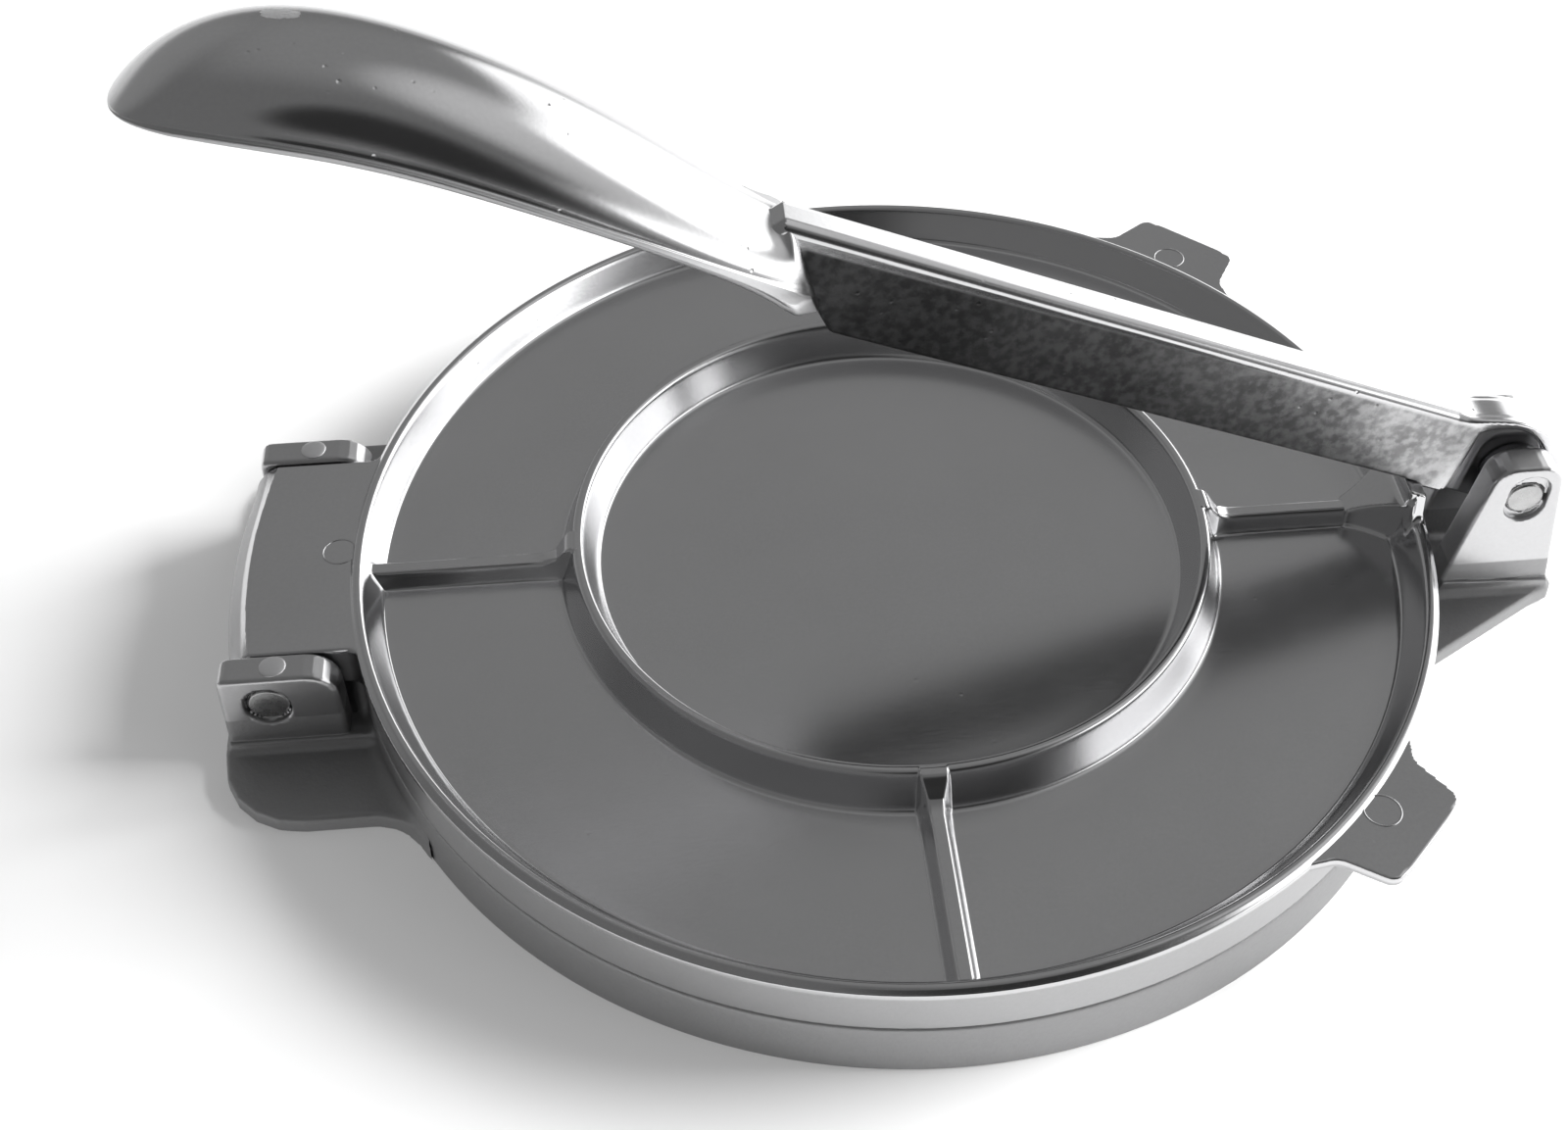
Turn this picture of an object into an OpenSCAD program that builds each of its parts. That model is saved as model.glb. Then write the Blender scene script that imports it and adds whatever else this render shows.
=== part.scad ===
// Hand press that flattens balls of dough between two round plates.
// A cast base carries a hinged upper plate, and a long lever on the far
// side bears down on a pad at the upper plate's free edge.
// +Z is up, the lever bracket is on +X and the plate hinge on -X.
// The origin is the middle of the round base, on the table.

/* [Plates] */
// Diameter of both plates, over the upper plate's flange
plate_d = 210; // [190:1:230]
// Height of the base, up to the joint between the plates
base_h = 11.7; // [10:0.1:18]
// How much wider the base is at the table than at the joint
base_flare = 1.4; // [0:0.1:3]
// Height of the upper plate's rim above the joint
lid_h = 10.6; // [9:0.1:16]
// Gap between the pressing faces when the press is shut
press_gap = 1.5; // [0.6:0.1:3]
// Share of that gap that is sunk into the base
base_sink = 1; // [0.2:0.1:2]
// Width of the flat land where the two rims meet
land_w = 7; // [5:0.5:10]
// Thickness of the upper plate between its ribs
lid_web = 4.1; // [3:0.1:6]
// Depth of the hollow under the base
under_depth = 3.8; // [2:0.1:5]
// Chamfer along both rims at the joint
rim_chamfer = 0.5; // [0.2:0.1:1]

/* [Rings and ribs] */
// Width of the round ridge along the upper plate's rim
ridge_w = 2.4; // [2:0.1:4]
// Flat strip outside that ridge
strip_w = 0.3; // [0.2:0.1:3]
// Height of the ridge above the flange
ridge_rise = 0.8; // [0.4:0.1:1.1]
// Slope of the rim's inner wall
rim_slope = 63; // [50:1:75]
// Radius of the middle of the inner ring
ring_r = 61; // [45:0.1:75]
// Height of the inner ring, which stands a little higher than the rim
ring_h = 8.1; // [4:0.1:9]
// Width of the ring's flat crest
ring_top_w = 1.8; // [1.4:0.1:4]
// Slope of both flanks of the ring
ring_slope = 71; // [60:1:80]
// Width of the four radial ribs at their foot
rib_w = 5.4; // [3:0.1:8]
// Width of the ribs' flat crest
rib_top_w = 2.6; // [1.6:0.1:4]
// Height of the radial ribs
rib_h = 3.8; // [1:0.1:6]
// Width of the ribs and ring under the base
under_rib_w = 4; // [3:0.2:6]

/* [Rim tabs] */
// How far the tabs stand out from the flange
tab_out = 11.8; // [6:0.2:16]
// Thickness of the tabs
tab_t = 2.2; // [1.5:0.1:4]
// Width of the tabs
tab_w = 26; // [18:0.5:34]
// Direction of the near tab
tab_near = -45; // [-60:1:-35]
// Direction of the far tab
tab_far = 47; // [35:1:60]

/* [Plate hinge] */
// Distance of the hinge pin outside the plates
hinge_out = 14.4; // [13:0.1:18]
// Height of the hinge pin above the joint
hinge_rise = 3.3; // [2.5:0.1:4.5]
// Diameter of the hinge pin
hinge_pin_d = 8; // [6:0.1:9]
// Offset of the hinge's middle to the left of the press's middle
hinge_y = 3; // [0:0.5:6]
// Width of the upper plate's lug
lug_w = 50.8; // [30:0.2:60]
// Thickness of each hinge ear
hinge_ear_t = 6.3; // [4:0.1:9]
// Space between the lug and each ear
hinge_side_gap = 0.5; // [0.3:0.1:1.5]
// Material round the pin in the lug
lug_wall = 3.3; // [2.5:0.1:4]
// Distance of the lug's back face behind the pin
lug_out = 9; // [8.5:0.1:10]
// Width of the foot under the hinge
hinge_foot_w = 101; // [86:1:120]
// Distance of the foot's back edge behind the pin
hinge_foot_out = 11.8; // [11:0.1:18]
// How much further back the near ear stands than the far one
hinge_skew = 2.6; // [0:0.1:3]
// Corner radius of that foot
hinge_foot_r = 16; // [8:0.5:20]

/* [Lever bracket] */
// Distance of the lever pin outside the plates
lever_out = 17.5; // [17:0.1:22]
// Height of the lever pin above the upper plate's flange
lever_rise = 6.3; // [5:0.1:10]
// Diameter of the lever pin
lever_pin_d = 7.5; // [6:0.1:8.5]
// Thickness of each lever ear
lever_ear_t = 6.5; // [4:0.1:9]
// Space between the lever and each ear
lever_side_gap = 0.5; // [0.3:0.1:1]
// Height of the ears above the pin
ear_over_pin = 8.6; // [7:0.1:10]
// Thickness of both feet
foot_t = 4; // [3:0.1:6]
// Radius of the blends at the foot of the ears
foot_blend = 2; // [1:0.5:3]
// Width of the ledge above those blends
foot_ledge = 0.7; // [0.3:0.1:1.2]

/* [Lever] */
// Slope of the lever at rest
lever_tilt = 22; // [20:0.5:24]
// Width of the lever's beam
beam_w = 8; // [6:0.2:12]
// Depth of the beam below the pin
beam_below = 7.2; // [6:0.1:8]
// Depth of the beam above the pin
beam_above = 9.9; // [8:0.1:12]
// Extra depth of the beam at the handle
beam_swell = 2.2; // [0:0.1:4]
// Distance from the pin to the start of the handle
beam_len = 159; // [130:1:180]
// Length of the handle
grip_len = 107; // [90:1:125]
// Half width of the handle
grip_half_w = 16; // [13:0.5:19]
// Half width of the handle where it meets the beam
neck_half_w = 9.5; // [8:0.5:12]
// Wall of the handle's shell
grip_wall = 3; // [2:0.1:4]
// Width of the lip along the handle's lower edge
lip_w = 1.2; // [0.5:0.1:2]
// Height of that lip
lip_h = 3; // [2:0.1:4]
// Extra width of the lip beside the beam
lip_flare = 4.5; // [0:0.1:7]

/* [Pad under the lever] */
// Thickness of the pad
pad_t = 3.7; // [3:0.1:5]
// Width of the pad at its foot
pad_w = 18; // [12:0.5:24]
// Width of the pad at its top
pad_top_w = 12.8; // [9:0.2:16]
// Gap left between the lever and the pad
pad_gap = 0.1; // [0.05:0.05:0.3]

/* [Fits] */
// Running clearance round each pin, in radius
pin_play = 0.05; // [0.03:0.01:0.1]
// Clearance of each pin in its ears, in radius
ear_play = 0.02; // [0.01:0.01:0.05]
// How far the pins end inside their ears
pin_sink = 0.7; // [0.3:0.1:1.5]
// Depth of the oval recess round each pin's end
eye_depth = 1.2; // [0.8:0.1:2]

/* [Hidden] */

plate_r = plate_d / 2;
lid_top = base_h + lid_h;
land_r = plate_r - land_w;
base_face = base_h - base_sink;
lid_face = base_face + press_gap;
panel_z = lid_face + lid_web;
foot_r = plate_r + base_flare / 2;

ridge_r = plate_r - strip_w - ridge_w / 2;
ridge_in = ridge_r - ridge_w / 2;

hinge_x = -(plate_r + hinge_out);
hinge_z = base_h + hinge_rise;
lug_r = hinge_pin_d / 2 + lug_wall;
hinge_ear_in = lug_w / 2 + hinge_side_gap;
hinge_ear_out = hinge_ear_in + hinge_ear_t;

lever_x = plate_r + lever_out;
lever_z = lid_top + lever_rise;
lever_ear_in = beam_w / 2 + lever_side_gap;
lever_ear_out = lever_ear_in + lever_ear_t;
// the hub's nose, the hump above it and the pocket beside it
nose_r = lever_pin_d / 2 + 5.2;
hump_r = beam_above + 2.4;
hub_cap = 1.8;
hub_web = 5;
hub_boss_r = lever_pin_d / 2 + 2.4;
// how far the lever's foot reaches past the pin
lever_foot_out = 11.8;

// height of the lever's underside above the point x, at rest
function under_lever(x) =
    lever_z - tan(lever_tilt) * (x - lever_x) - beam_below / cos(lever_tilt);

// concave blends between the web and the rim's inner wall, and the ring
root_r = 1.6;
ring_root = 1;
// rounding of the ring's crest
ring_edge = 0.8;

mark_d = 6.5;
// the tabs lie this much under the flange's face
tab_drop = 0.1;
mark_depth = 0.2;
corner_steps = 6;
eps = 0.01;
reach = 400;

// ---- outlines with round corners: each point is [x, y, radius]
function unit(v) = v / norm(v);
function arc(o, r, a, turn) = [
    for (i = [0:corner_steps])
        o + r * [cos(a + turn * i / corner_steps), sin(a + turn * i / corner_steps)]
];
function corner(a, b, c) =
    let (u = unit([a.x - b.x, a.y - b.y]))
    let (v = unit([c.x - b.x, c.y - b.y]))
    let (half = acos(u * v) / 2)
    let (o = [b.x, b.y] + unit(u + v) * b.z / sin(half))
    let (p = [b.x, b.y] + u * b.z / tan(half))
    let (q = [b.x, b.y] + v * b.z / tan(half))
    let (start = atan2(p.y - o.y, p.x - o.x))
    let (stop = atan2(q.y - o.y, q.x - o.x))
    let (turn = (stop - start + 900) % 360 - 180)
    b.z <= 0 ? [[b.x, b.y]] : arc(o, b.z, start, turn);
function rounded(pts) = [
    for (i = [0:len(pts) - 1])
        each corner(
            pts[(i + len(pts) - 1) % len(pts)],
            pts[i],
            pts[(i + 1) % len(pts)]
        )
];
function mirrored(pts) = concat(
    pts,
    [for (i = [len(pts) - 1:-1:0]) [pts[i].x, -pts[i].y, pts[i].z]]
);

// an outline drawn in x and z, made w wide about the plane y = 0
module across(w) {
    translate([0, w / 2, 0])
        rotate([90, 0, 0])
            linear_extrude(w)
                children();
}

// the same outline as one plate on each side of the plane y = mid,
// from a to b away from it
module pair(a, b, mid = 0) {
    for (side = [-1, 1])
        translate([0, mid + side * (a + b) / 2, 0])
            across(b - a)
                children();
}

// a cylinder along y, w long about the plane y = mid
module pin_shape(x, z, r, w, mid = 0) {
    translate([x, mid + w / 2, z])
        rotate([90, 0, 0])
            cylinder(h = w, r = r, $fn = 64);
}

// the oval recess in the outer face of each ear, round the pin's end,
// with the middles of its arcs from low to high over the pin's middle
module eye(x, z, pin_r, face, low, high, mid = 0) {
    r = pin_r * 1.07;
    for (side = [-1, 1])
        translate([x, mid + side * face, z])
            rotate([90, 0, 0])
                for (lift = [low, (low + high) / 2, high])
                    translate([0, lift, 0])
                        cylinder(h = 2 * eye_depth, r = r, center = true, $fn = 48);
}

// a ledge along each ear's foot, with a concave quarter round below it
module ear_blends(x0, x1, face, mid = 0) {
    wide = foot_ledge + foot_blend;
    for (side = [-1, 1])
        translate([x0, mid + side * face, foot_t])
            rotate([90, 0, 90])
                linear_extrude(x1 - x0)
                    difference() {
                        translate([min(-0.5 * side, side * wide), -1])
                            square([wide + 0.5, foot_blend + 1]);
                        translate([side * wide, foot_blend])
                            circle(r = foot_blend, $fn = 32);
                    }
}

// a concave blend of radius r in plan, between the straight side y = line
// of a foot and the round wall of radius wall_r, on the -X side
module plan_blend(line, wall_r, r) {
    side = sign(line);
    c = [
        -sqrt(pow(wall_r + r, 2) - pow(abs(line) + r, 2)),
        line + side * r
    ];
    difference() {
        polygon([
            [c.x, line],
            c,
            c * wall_r / (wall_r + r) * 0.995,
            [c.x + 2 * r, line - side * r],
            [c.x, line - side * r]
        ]);
        translate(c)
            circle(r = r, $fn = 64);
    }
}

// ---- base
module base_round() {
    rotate_extrude($fn = 180)
        polygon([
            [0, under_depth],
            [foot_r - land_w - base_flare / 2, under_depth],
            [foot_r - land_w - base_flare / 2, 0],
            [foot_r, 0],
            [plate_r, base_h - rim_chamfer],
            [plate_r - rim_chamfer, base_h],
            [land_r, base_h],
            [land_r - base_sink, base_face],
            [0, base_face]
        ]);
}

module base_under_ribs() {
    for (turn = [0, 90])
        rotate(turn)
            translate([-land_r, -under_rib_w / 2, mark_depth * 2])
                cube([2 * land_r, under_rib_w, under_depth + eps]);
    translate([0, 0, mark_depth * 2])
        difference() {
            cylinder(h = under_depth + eps, r = ring_r + under_rib_w / 2, $fn = 120);
            translate([0, 0, -1])
                cylinder(h = under_depth + 2, r = ring_r - under_rib_w / 2, $fn = 120);
        }
}

module hinge_foot() {
    half = hinge_foot_w / 2;
    back = hinge_x - hinge_foot_out;
    linear_extrude(foot_t)
        difference() {
            union() {
                translate([0, hinge_y])
                    polygon(rounded(mirrored([
                        [back, half, hinge_foot_r],
                        [-plate_r / 2, half, 0]
                    ])));
                for (side = [-1, 1])
                    plan_blend(hinge_y + side * half, plate_r, 7);
            }
            circle(r = plate_r - 2, $fn = 120);
        }
}

module hinge_ears() {
    top = lid_top + 0.6;
    for (side = [-1, 1])
        translate([
            side * hinge_skew / 2,
            hinge_y + side * (hinge_ear_in + hinge_ear_t / 2),
            0
        ])
            across(hinge_ear_t)
                polygon(rounded([
                    [hinge_x - 8, foot_t - 1, 0],
                    [hinge_x - 6.9, top, 2],
                    [hinge_x + 14.9, top, 6],
                    [hinge_x + 14.9, foot_t - 1, 0]
                ]));
    ear_blends(hinge_x - 6.5, -plate_r + 7, hinge_ear_out, hinge_y);
}

// the lever's foot in plan, made smaller by the inset
module lever_foot_plan(inset) {
    polygon(rounded(mirrored([
        [plate_r - 6, lever_ear_out + 19 - inset, 0],
        [plate_r + 1.2, lever_ear_out + 15.9 - inset, 2],
        [lever_x + lever_foot_out - inset, lever_ear_out - 0.3 - inset, 1]
    ])));
}

module lever_foot() {
    linear_extrude(foot_t)
        difference() {
            lever_foot_plan(0);
            circle(r = plate_r - 2, $fn = 120);
        }
}

module lever_ears() {
    top = lever_z + ear_over_pin;
    pair(lever_ear_in, lever_ear_out)
        polygon(rounded([
            [lever_x - 12.9, foot_t - 1, 0],
            [lever_x - 12.0, foot_t + 3, 8],
            [lever_x - 7.1, top, 4.5],
            [lever_x + 5.3, top, 5],
            [lever_x + 11, foot_t - 1, 0]
        ]));
    intersection() {
        ear_blends(plate_r - 4, lever_x + 10.2, lever_ear_out);
        linear_extrude(lever_z)
            lever_foot_plan(0.3);
    }
}

module base() {
    color("silver")
    difference() {
        union() {
            base_round();
            base_under_ribs();
            hinge_foot();
            hinge_ears();
            lever_foot();
            lever_ears();
        }
        pin_shape(
            hinge_x, hinge_z, hinge_pin_d / 2 + ear_play,
            2 * hinge_ear_out + 2, hinge_y
        );
        pin_shape(lever_x, lever_z, lever_pin_d / 2 + ear_play, 2 * lever_ear_out + 2);
        eye(
            hinge_x, hinge_z, hinge_pin_d / 2, hinge_ear_out, -0.2, 0.6,
            hinge_y
        );
        eye(lever_x, lever_z, lever_pin_d / 2, lever_ear_out, -1.2, 2.3);
        for (side = [-1, 1])
            translate([
                hinge_x + 3.5 + side * 1.5,
                hinge_y + side * (hinge_ear_in + hinge_ear_t / 2),
                lid_top + 0.6 - mark_depth
            ])
                cylinder(h = 1, r = mark_d / 2 - 0.5, $fn = 32);
    }
}

// ---- upper plate
// the plate's section: flat web, inner ring, rim with its round ridge
module lid_round() {
    ridge_o = [ridge_r, lid_top + ridge_rise - ridge_w / 2];
    ridge_a = asin(1 - 2 * ridge_rise / ridge_w);
    // the ridge's round top runs into the sloped inner wall at the brow
    brow = ridge_o + ridge_w / 2 * [-sin(rim_slope), cos(rim_slope)];
    wall_foot = [brow.x - (brow.y - panel_z) / tan(rim_slope), panel_z, root_r];
    ring_run = ring_h / tan(ring_slope);
    crest_z = panel_z + ring_h;
    crest_out = [ring_r + ring_top_w / 2, crest_z, ring_edge];
    crest_in = [ring_r - ring_top_w / 2, crest_z, ring_edge];
    ring_out = [crest_out.x + ring_run, panel_z, ring_root];
    ring_in = [crest_in.x - ring_run, panel_z, ring_root];
    rotate_extrude($fn = 180)
        polygon(concat(
            [
                [0, lid_face],
                [land_r - 1, lid_face],
                [land_r, base_h],
                [plate_r - rim_chamfer, base_h],
                [plate_r, base_h + rim_chamfer],
                [plate_r, lid_top]
            ],
            arc(ridge_o, ridge_w / 2, ridge_a, 90 + rim_slope - ridge_a),
            corner(brow, wall_foot, ring_out),
            corner(wall_foot, ring_out, crest_out),
            corner(ring_out, crest_out, crest_in),
            corner(crest_out, crest_in, ring_in),
            corner(crest_in, ring_in, [0, panel_z]),
            [[0, panel_z]]
        ));
}

module lid_ribs() {
    for (turn = [0:90:270])
        rotate([90, 0, 90 + turn])
            translate([0, 0, ring_r])
                linear_extrude(ridge_r - ring_r)
                    polygon(rounded([
                        [-rib_w / 2, panel_z - 1, 0],
                        [rib_w / 2, panel_z - 1, 0],
                        [rib_w / 2, panel_z, 0],
                        [rib_top_w / 2, panel_z + rib_h, 0.5],
                        [-rib_top_w / 2, panel_z + rib_h, 0.5],
                        [-rib_w / 2, panel_z, 0]
                    ]));
}

module lid_tab(turn) {
    rotate(turn)
        translate([0, 0, lid_top - tab_drop - tab_t])
            difference() {
                linear_extrude(tab_t)
                    polygon(rounded(mirrored([
                        [plate_r - 2.4, -tab_w / 2 - 6, 0],
                        [plate_r + 1.5, -tab_w / 2 - 0.6, 4],
                        [plate_r + tab_out - 0.5, -tab_w / 2 + 1.5, 2.5],
                        [plate_r + tab_out, -tab_w / 4, 20]
                    ])));
                translate([plate_r + 2.2, 0, tab_t - mark_depth])
                    cylinder(h = 1, r = mark_d / 2, $fn = 32);
            }
}

// the lug is part of a disc, with a rounded back edge and a knuckle
module lid_lug() {
    pin_r = -hinge_x;
    intersection() {
        rotate_extrude($fn = 180)
            polygon(rounded([
                [ridge_r, base_h + 1, 0],
                [pin_r - 1, base_h + 1, 0],
                [pin_r + 3, hinge_z - 6, 0],
                [pin_r + 6, hinge_z - 5, 0],
                [pin_r + lug_out, hinge_z - 1, 0],
                [pin_r + lug_out, lid_top - 4, 1.5],
                [pin_r + lug_out - 4.2, lid_top, 0.6],
                [ridge_r, lid_top, 0]
            ]));
        translate([-reach, hinge_y - lug_w / 2, 0])
            cube([reach, lug_w, reach]);
    }
    pin_shape(hinge_x, hinge_z, lug_r, lug_w, hinge_y);
}

module lid_pad() {
    x0 = plate_r - pad_t - 0.8;
    // the wall that the lever bears on, cut to the lever's underside
    difference() {
        translate([x0, 0, lid_top - 1])
            rotate([90, 0, 90])
                linear_extrude(pad_t)
                    polygon([
                        [-pad_w / 2, 0],
                        [pad_w / 2, 0],
                        [pad_top_w / 2, lever_rise + 4],
                        [-pad_top_w / 2, lever_rise + 4]
                    ]);
        translate([lever_x, 0, lever_z])
            rotate([0, lever_tilt, 0])
                translate([-60, -pad_w, -beam_below - pad_gap])
                    cube([90, 2 * pad_w, 60]);
    }
    // the buttress behind it, which widens from the rib to the wall
    foot_x = ridge_in - 11.3;
    intersection() {
        translate([0, 0, panel_z])
            linear_extrude(reach)
                polygon([
                    [foot_x, -rib_w / 2],
                    [foot_x, rib_w / 2],
                    [x0 + 1, pad_w / 2],
                    [x0 + 1, -pad_w / 2]
                ]);
        across(pad_w)
            polygon([
                [foot_x, panel_z],
                [foot_x, panel_z + rib_h],
                [x0 + 1, under_lever(x0 + 1) - 2.4],
                [x0 + 1, panel_z]
            ]);
    }
}

module lid() {
    color("gainsboro")
    difference() {
        union() {
            lid_round();
            lid_ribs();
            lid_tab(tab_near);
            lid_tab(tab_far);
            lid_lug();
            lid_pad();
        }
        pin_shape(hinge_x, hinge_z, hinge_pin_d / 2 + pin_play, lug_w + 2, hinge_y);
        translate([-plate_r - 2.2, hinge_y, lid_top - mark_depth])
            cylinder(h = 1, r = mark_d / 2, $fn = 32);
    }
}

// ---- lever, drawn level with its pin at the origin and turned at the end
// Bezier curves of the handle's crest and of its lower edge, in x and z
function bez(p, t) =
    pow(1 - t, 3) * p[0] + 3 * t * pow(1 - t, 2) * p[1]
    + 3 * t * t * (1 - t) * p[2] + pow(t, 3) * p[3];
tip = [-beam_len - grip_len, 0.2];
crest = [
    [-beam_len, beam_above + 1.6],
    [-beam_len + 1, 2],
    [tip.x + 21, 49],
    tip
];
edge = [
    [-beam_len + 9.5, 1.3],
    [-beam_len - 20, 9.5],
    [tip.x + 25, 18.3],
    tip
];

round_from = 0.72;
function half_w(t) =
    (neck_half_w + (grip_half_w - neck_half_w) * sin(90 * min(1, t / 0.55)))
    * sqrt(max(0, 1 - pow(max(0, (t - round_from) / (1 - round_from)), 2)));
function lip(t) =
    lip_w + lip_flare * min(1, t / 0.05) * pow(max(0, 1 - t / 0.32), 1.4);

// one ring of the shell: points [across, up] from one edge to the other
arch_steps = 16;
function outer_ring(w, h, l, s) = concat(
    [[w + l, 0], [w + l, lip_h * s], [w + 0.01, lip_h * s + 0.01]],
    [for (i = [1:arch_steps - 1])
        let (a = 180 * i / arch_steps)
        [w * cos(a), max(h * sin(a), lip_h * s + 0.02)]],
    [[-w - 0.01, lip_h * s + 0.01], [-w - l, lip_h * s], [-w - l, 0]]
);
function inner_ring(w, h, s) = concat(
    [[w, 0], [w, 0.1 * s], [w, 0.2 * s]],
    [for (i = [1:arch_steps - 1])
        let (a = 180 * i / arch_steps)
        [w * cos(a), max(h * sin(a), 0.3 * s)]],
    [[-w, 0.2 * s], [-w, 0.1 * s], [-w, 0]]
);
ring_n = arch_steps + 5;
stations = [
    0, 0.015, 0.035, 0.06, 0.1, 0.14, 0.18, 0.23, 0.28, 0.34, 0.4, 0.46,
    0.52, 0.58, 0.64, 0.7, 0.75, 0.8, 0.84, 0.88, 0.91, 0.94, 0.96, 0.98, 0.99
];
// the hollow ends one wall before the handle's tip
hollow_end = 1 - grip_wall / grip_len * 1.7;

function placed(t, pts) =
    let (low = bez(edge, t))
    let (up = unit(bez(crest, t) - low))
    [for (p = pts) [low.x + up.x * p.y, p.x, low.y + up.y * p.y]];
function outer_at(t) =
    let (h = norm(bez(crest, t) - bez(edge, t)))
    placed(t, outer_ring(half_w(t), h, lip(t) * min(1, h / 8), min(1, h / 12)));
function inner_at(t) =
    let (u = t * hollow_end)
    let (h = norm(bez(crest, u) - bez(edge, u)))
    let (k = sqrt(max(0.0001, 1 - pow(max(0, (t - 0.7) / 0.3), 2))))
    placed(u, inner_ring(
        max(0.2, (half_w(u) - grip_wall) * k),
        max(0.2, (h - grip_wall) * k),
        k
    ));

module grip_shell() {
    n = len(stations);
    outer = [for (t = stations) each outer_at(t)];
    inner = [for (t = stations) each inner_at(t)];
    tip_out = [tip.x, 0, tip.y];
    low_end = bez(edge, hollow_end);
    tip_in = [low_end.x, 0, low_end.y];
    first_in = n * ring_n;
    a = 2 * n * ring_n;
    b = a + 1;
    function o(i, j) = i * ring_n + j;
    function w(i, j) = first_in + i * ring_n + j;
    polyhedron(
        points = concat(outer, inner, [tip_out, tip_in]),
        faces = concat(
            [for (i = [0:n - 2], j = [0:ring_n - 2]) each [
                [o(i, j), o(i, j + 1), o(i + 1, j + 1)],
                [o(i, j), o(i + 1, j + 1), o(i + 1, j)],
                [w(i, j), w(i + 1, j + 1), w(i, j + 1)],
                [w(i, j), w(i + 1, j), w(i + 1, j + 1)]
            ]],
            // the lower edge, along both sides
            [for (i = [0:n - 2]) each [
                [o(i, 0), o(i + 1, 0), w(i + 1, 0)],
                [o(i, 0), w(i + 1, 0), w(i, 0)],
                [o(i, ring_n - 1), w(i + 1, ring_n - 1), o(i + 1, ring_n - 1)],
                [o(i, ring_n - 1), w(i, ring_n - 1), w(i + 1, ring_n - 1)]
            ]],
            // the open end beside the beam
            [for (j = [0:ring_n - 2]) each [
                [o(0, j), w(0, j), w(0, j + 1)],
                [o(0, j), w(0, j + 1), o(0, j + 1)]
            ]],
            // the closed tip
            [for (j = [0:ring_n - 2]) each [
                [o(n - 1, j), o(n - 1, j + 1), a],
                [w(n - 1, j), b, w(n - 1, j + 1)]
            ]],
            [
                [o(n - 1, 0), a, b],
                [o(n - 1, 0), b, w(n - 1, 0)],
                [o(n - 1, ring_n - 1), b, a],
                [o(n - 1, ring_n - 1), w(n - 1, ring_n - 1), b]
            ]
        )
    );
}

module lever_beam() {
    difference() {
        across(beam_w)
            union() {
                circle(r = nose_r, $fn = 64);
                intersection() {
                    translate([-6.2, 0])
                        circle(r = hump_r, $fn = 64);
                    translate([-reach, -beam_below])
                        square([2 * reach, reach]);
                }
                polygon([
                    [0, -beam_below],
                    [0, beam_above],
                    [-beam_len, beam_above + beam_swell],
                    [-beam_len - 1.5, beam_above],
                    [-beam_len - 9, beam_above - 0.6],
                    [-beam_len - 12, 7.5],
                    [-beam_len + 8, 0.5],
                    [-beam_len + 16, -beam_below]
                ]);
            }
        // pockets beside the hub, open downward, under a cap of their own
        pair(hub_web / 2, beam_w)
            intersection() {
                union() {
                    circle(r = nose_r - hub_cap, $fn = 64);
                    translate([-6.2, 0])
                        circle(r = hump_r - hub_cap, $fn = 64);
                    translate([-20, -beam_below - 20])
                        square([20 + nose_r - hub_cap, 20 + beam_below]);
                }
                polygon([
                    [-11, -beam_below],
                    [-14.7, hump_r],
                    [reach, hump_r],
                    [reach, -reach],
                    [-11, -reach]
                ]);
            }
    }
    // spacers that keep the hub in the middle between the ears
    pin_shape(0, 0, hub_boss_r, beam_w + 2 * lever_side_gap - 0.4);
}

module lever() {
    color("whitesmoke")
    translate([lever_x, 0, lever_z])
        rotate([0, lever_tilt, 0])
            difference() {
                union() {
                    lever_beam();
                    grip_shell();
                }
                pin_shape(0, 0, lever_pin_d / 2 + pin_play, beam_w + 4);
            }
}

// ---- pins
module hinge_pin() {
    color("dimgray")
    pin_shape(
        hinge_x, hinge_z, hinge_pin_d / 2,
        2 * (hinge_ear_out - pin_sink), hinge_y
    );
}

module lever_pin() {
    color("gray")
    pin_shape(lever_x, lever_z, lever_pin_d / 2, 2 * (lever_ear_out - pin_sink));
}

base();
lid();
lever();
hinge_pin();
lever_pin();
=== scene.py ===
# %% [markdown]
# # A cast aluminium tortilla press
#
# Two round plates are hinged at the left, and a long lever at the right presses the
# upper one down. The real press is three castings and two steel pins. A casting has no
# sharp corner anywhere, and polished metal shows every kink in its surface, so this
# lesson is mostly about making smooth, softened skins whose highlights flow.
#
# All numbers are millimetres in the press's own frame: the origin is the middle of the
# base on the table, +X points at the lever's bracket and +Z is up.

# %% Load the fixed frame
import math
from itertools import product

import bpy
import numpy as np
from mathutils import Matrix, Vector


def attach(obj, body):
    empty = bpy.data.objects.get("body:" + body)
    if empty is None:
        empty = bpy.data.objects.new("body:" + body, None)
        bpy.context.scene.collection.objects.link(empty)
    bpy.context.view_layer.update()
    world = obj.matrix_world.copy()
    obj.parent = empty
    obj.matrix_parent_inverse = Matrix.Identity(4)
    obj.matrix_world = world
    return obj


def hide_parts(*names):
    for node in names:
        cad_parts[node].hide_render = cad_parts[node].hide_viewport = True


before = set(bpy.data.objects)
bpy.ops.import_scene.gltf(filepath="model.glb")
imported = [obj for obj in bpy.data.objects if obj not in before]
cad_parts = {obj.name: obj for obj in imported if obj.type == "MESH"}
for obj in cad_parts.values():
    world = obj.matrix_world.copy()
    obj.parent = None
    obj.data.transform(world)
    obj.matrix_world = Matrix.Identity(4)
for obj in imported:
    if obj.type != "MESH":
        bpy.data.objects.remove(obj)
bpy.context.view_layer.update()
MM = 0.001

# %% [markdown]
# ## The sizes of the press
#
# Every piece below is placed with the same few sizes, so that the lever lands on its
# pad and the pins sit in their eyes. They are kept in one place and are the sizes of
# the solid model.

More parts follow.
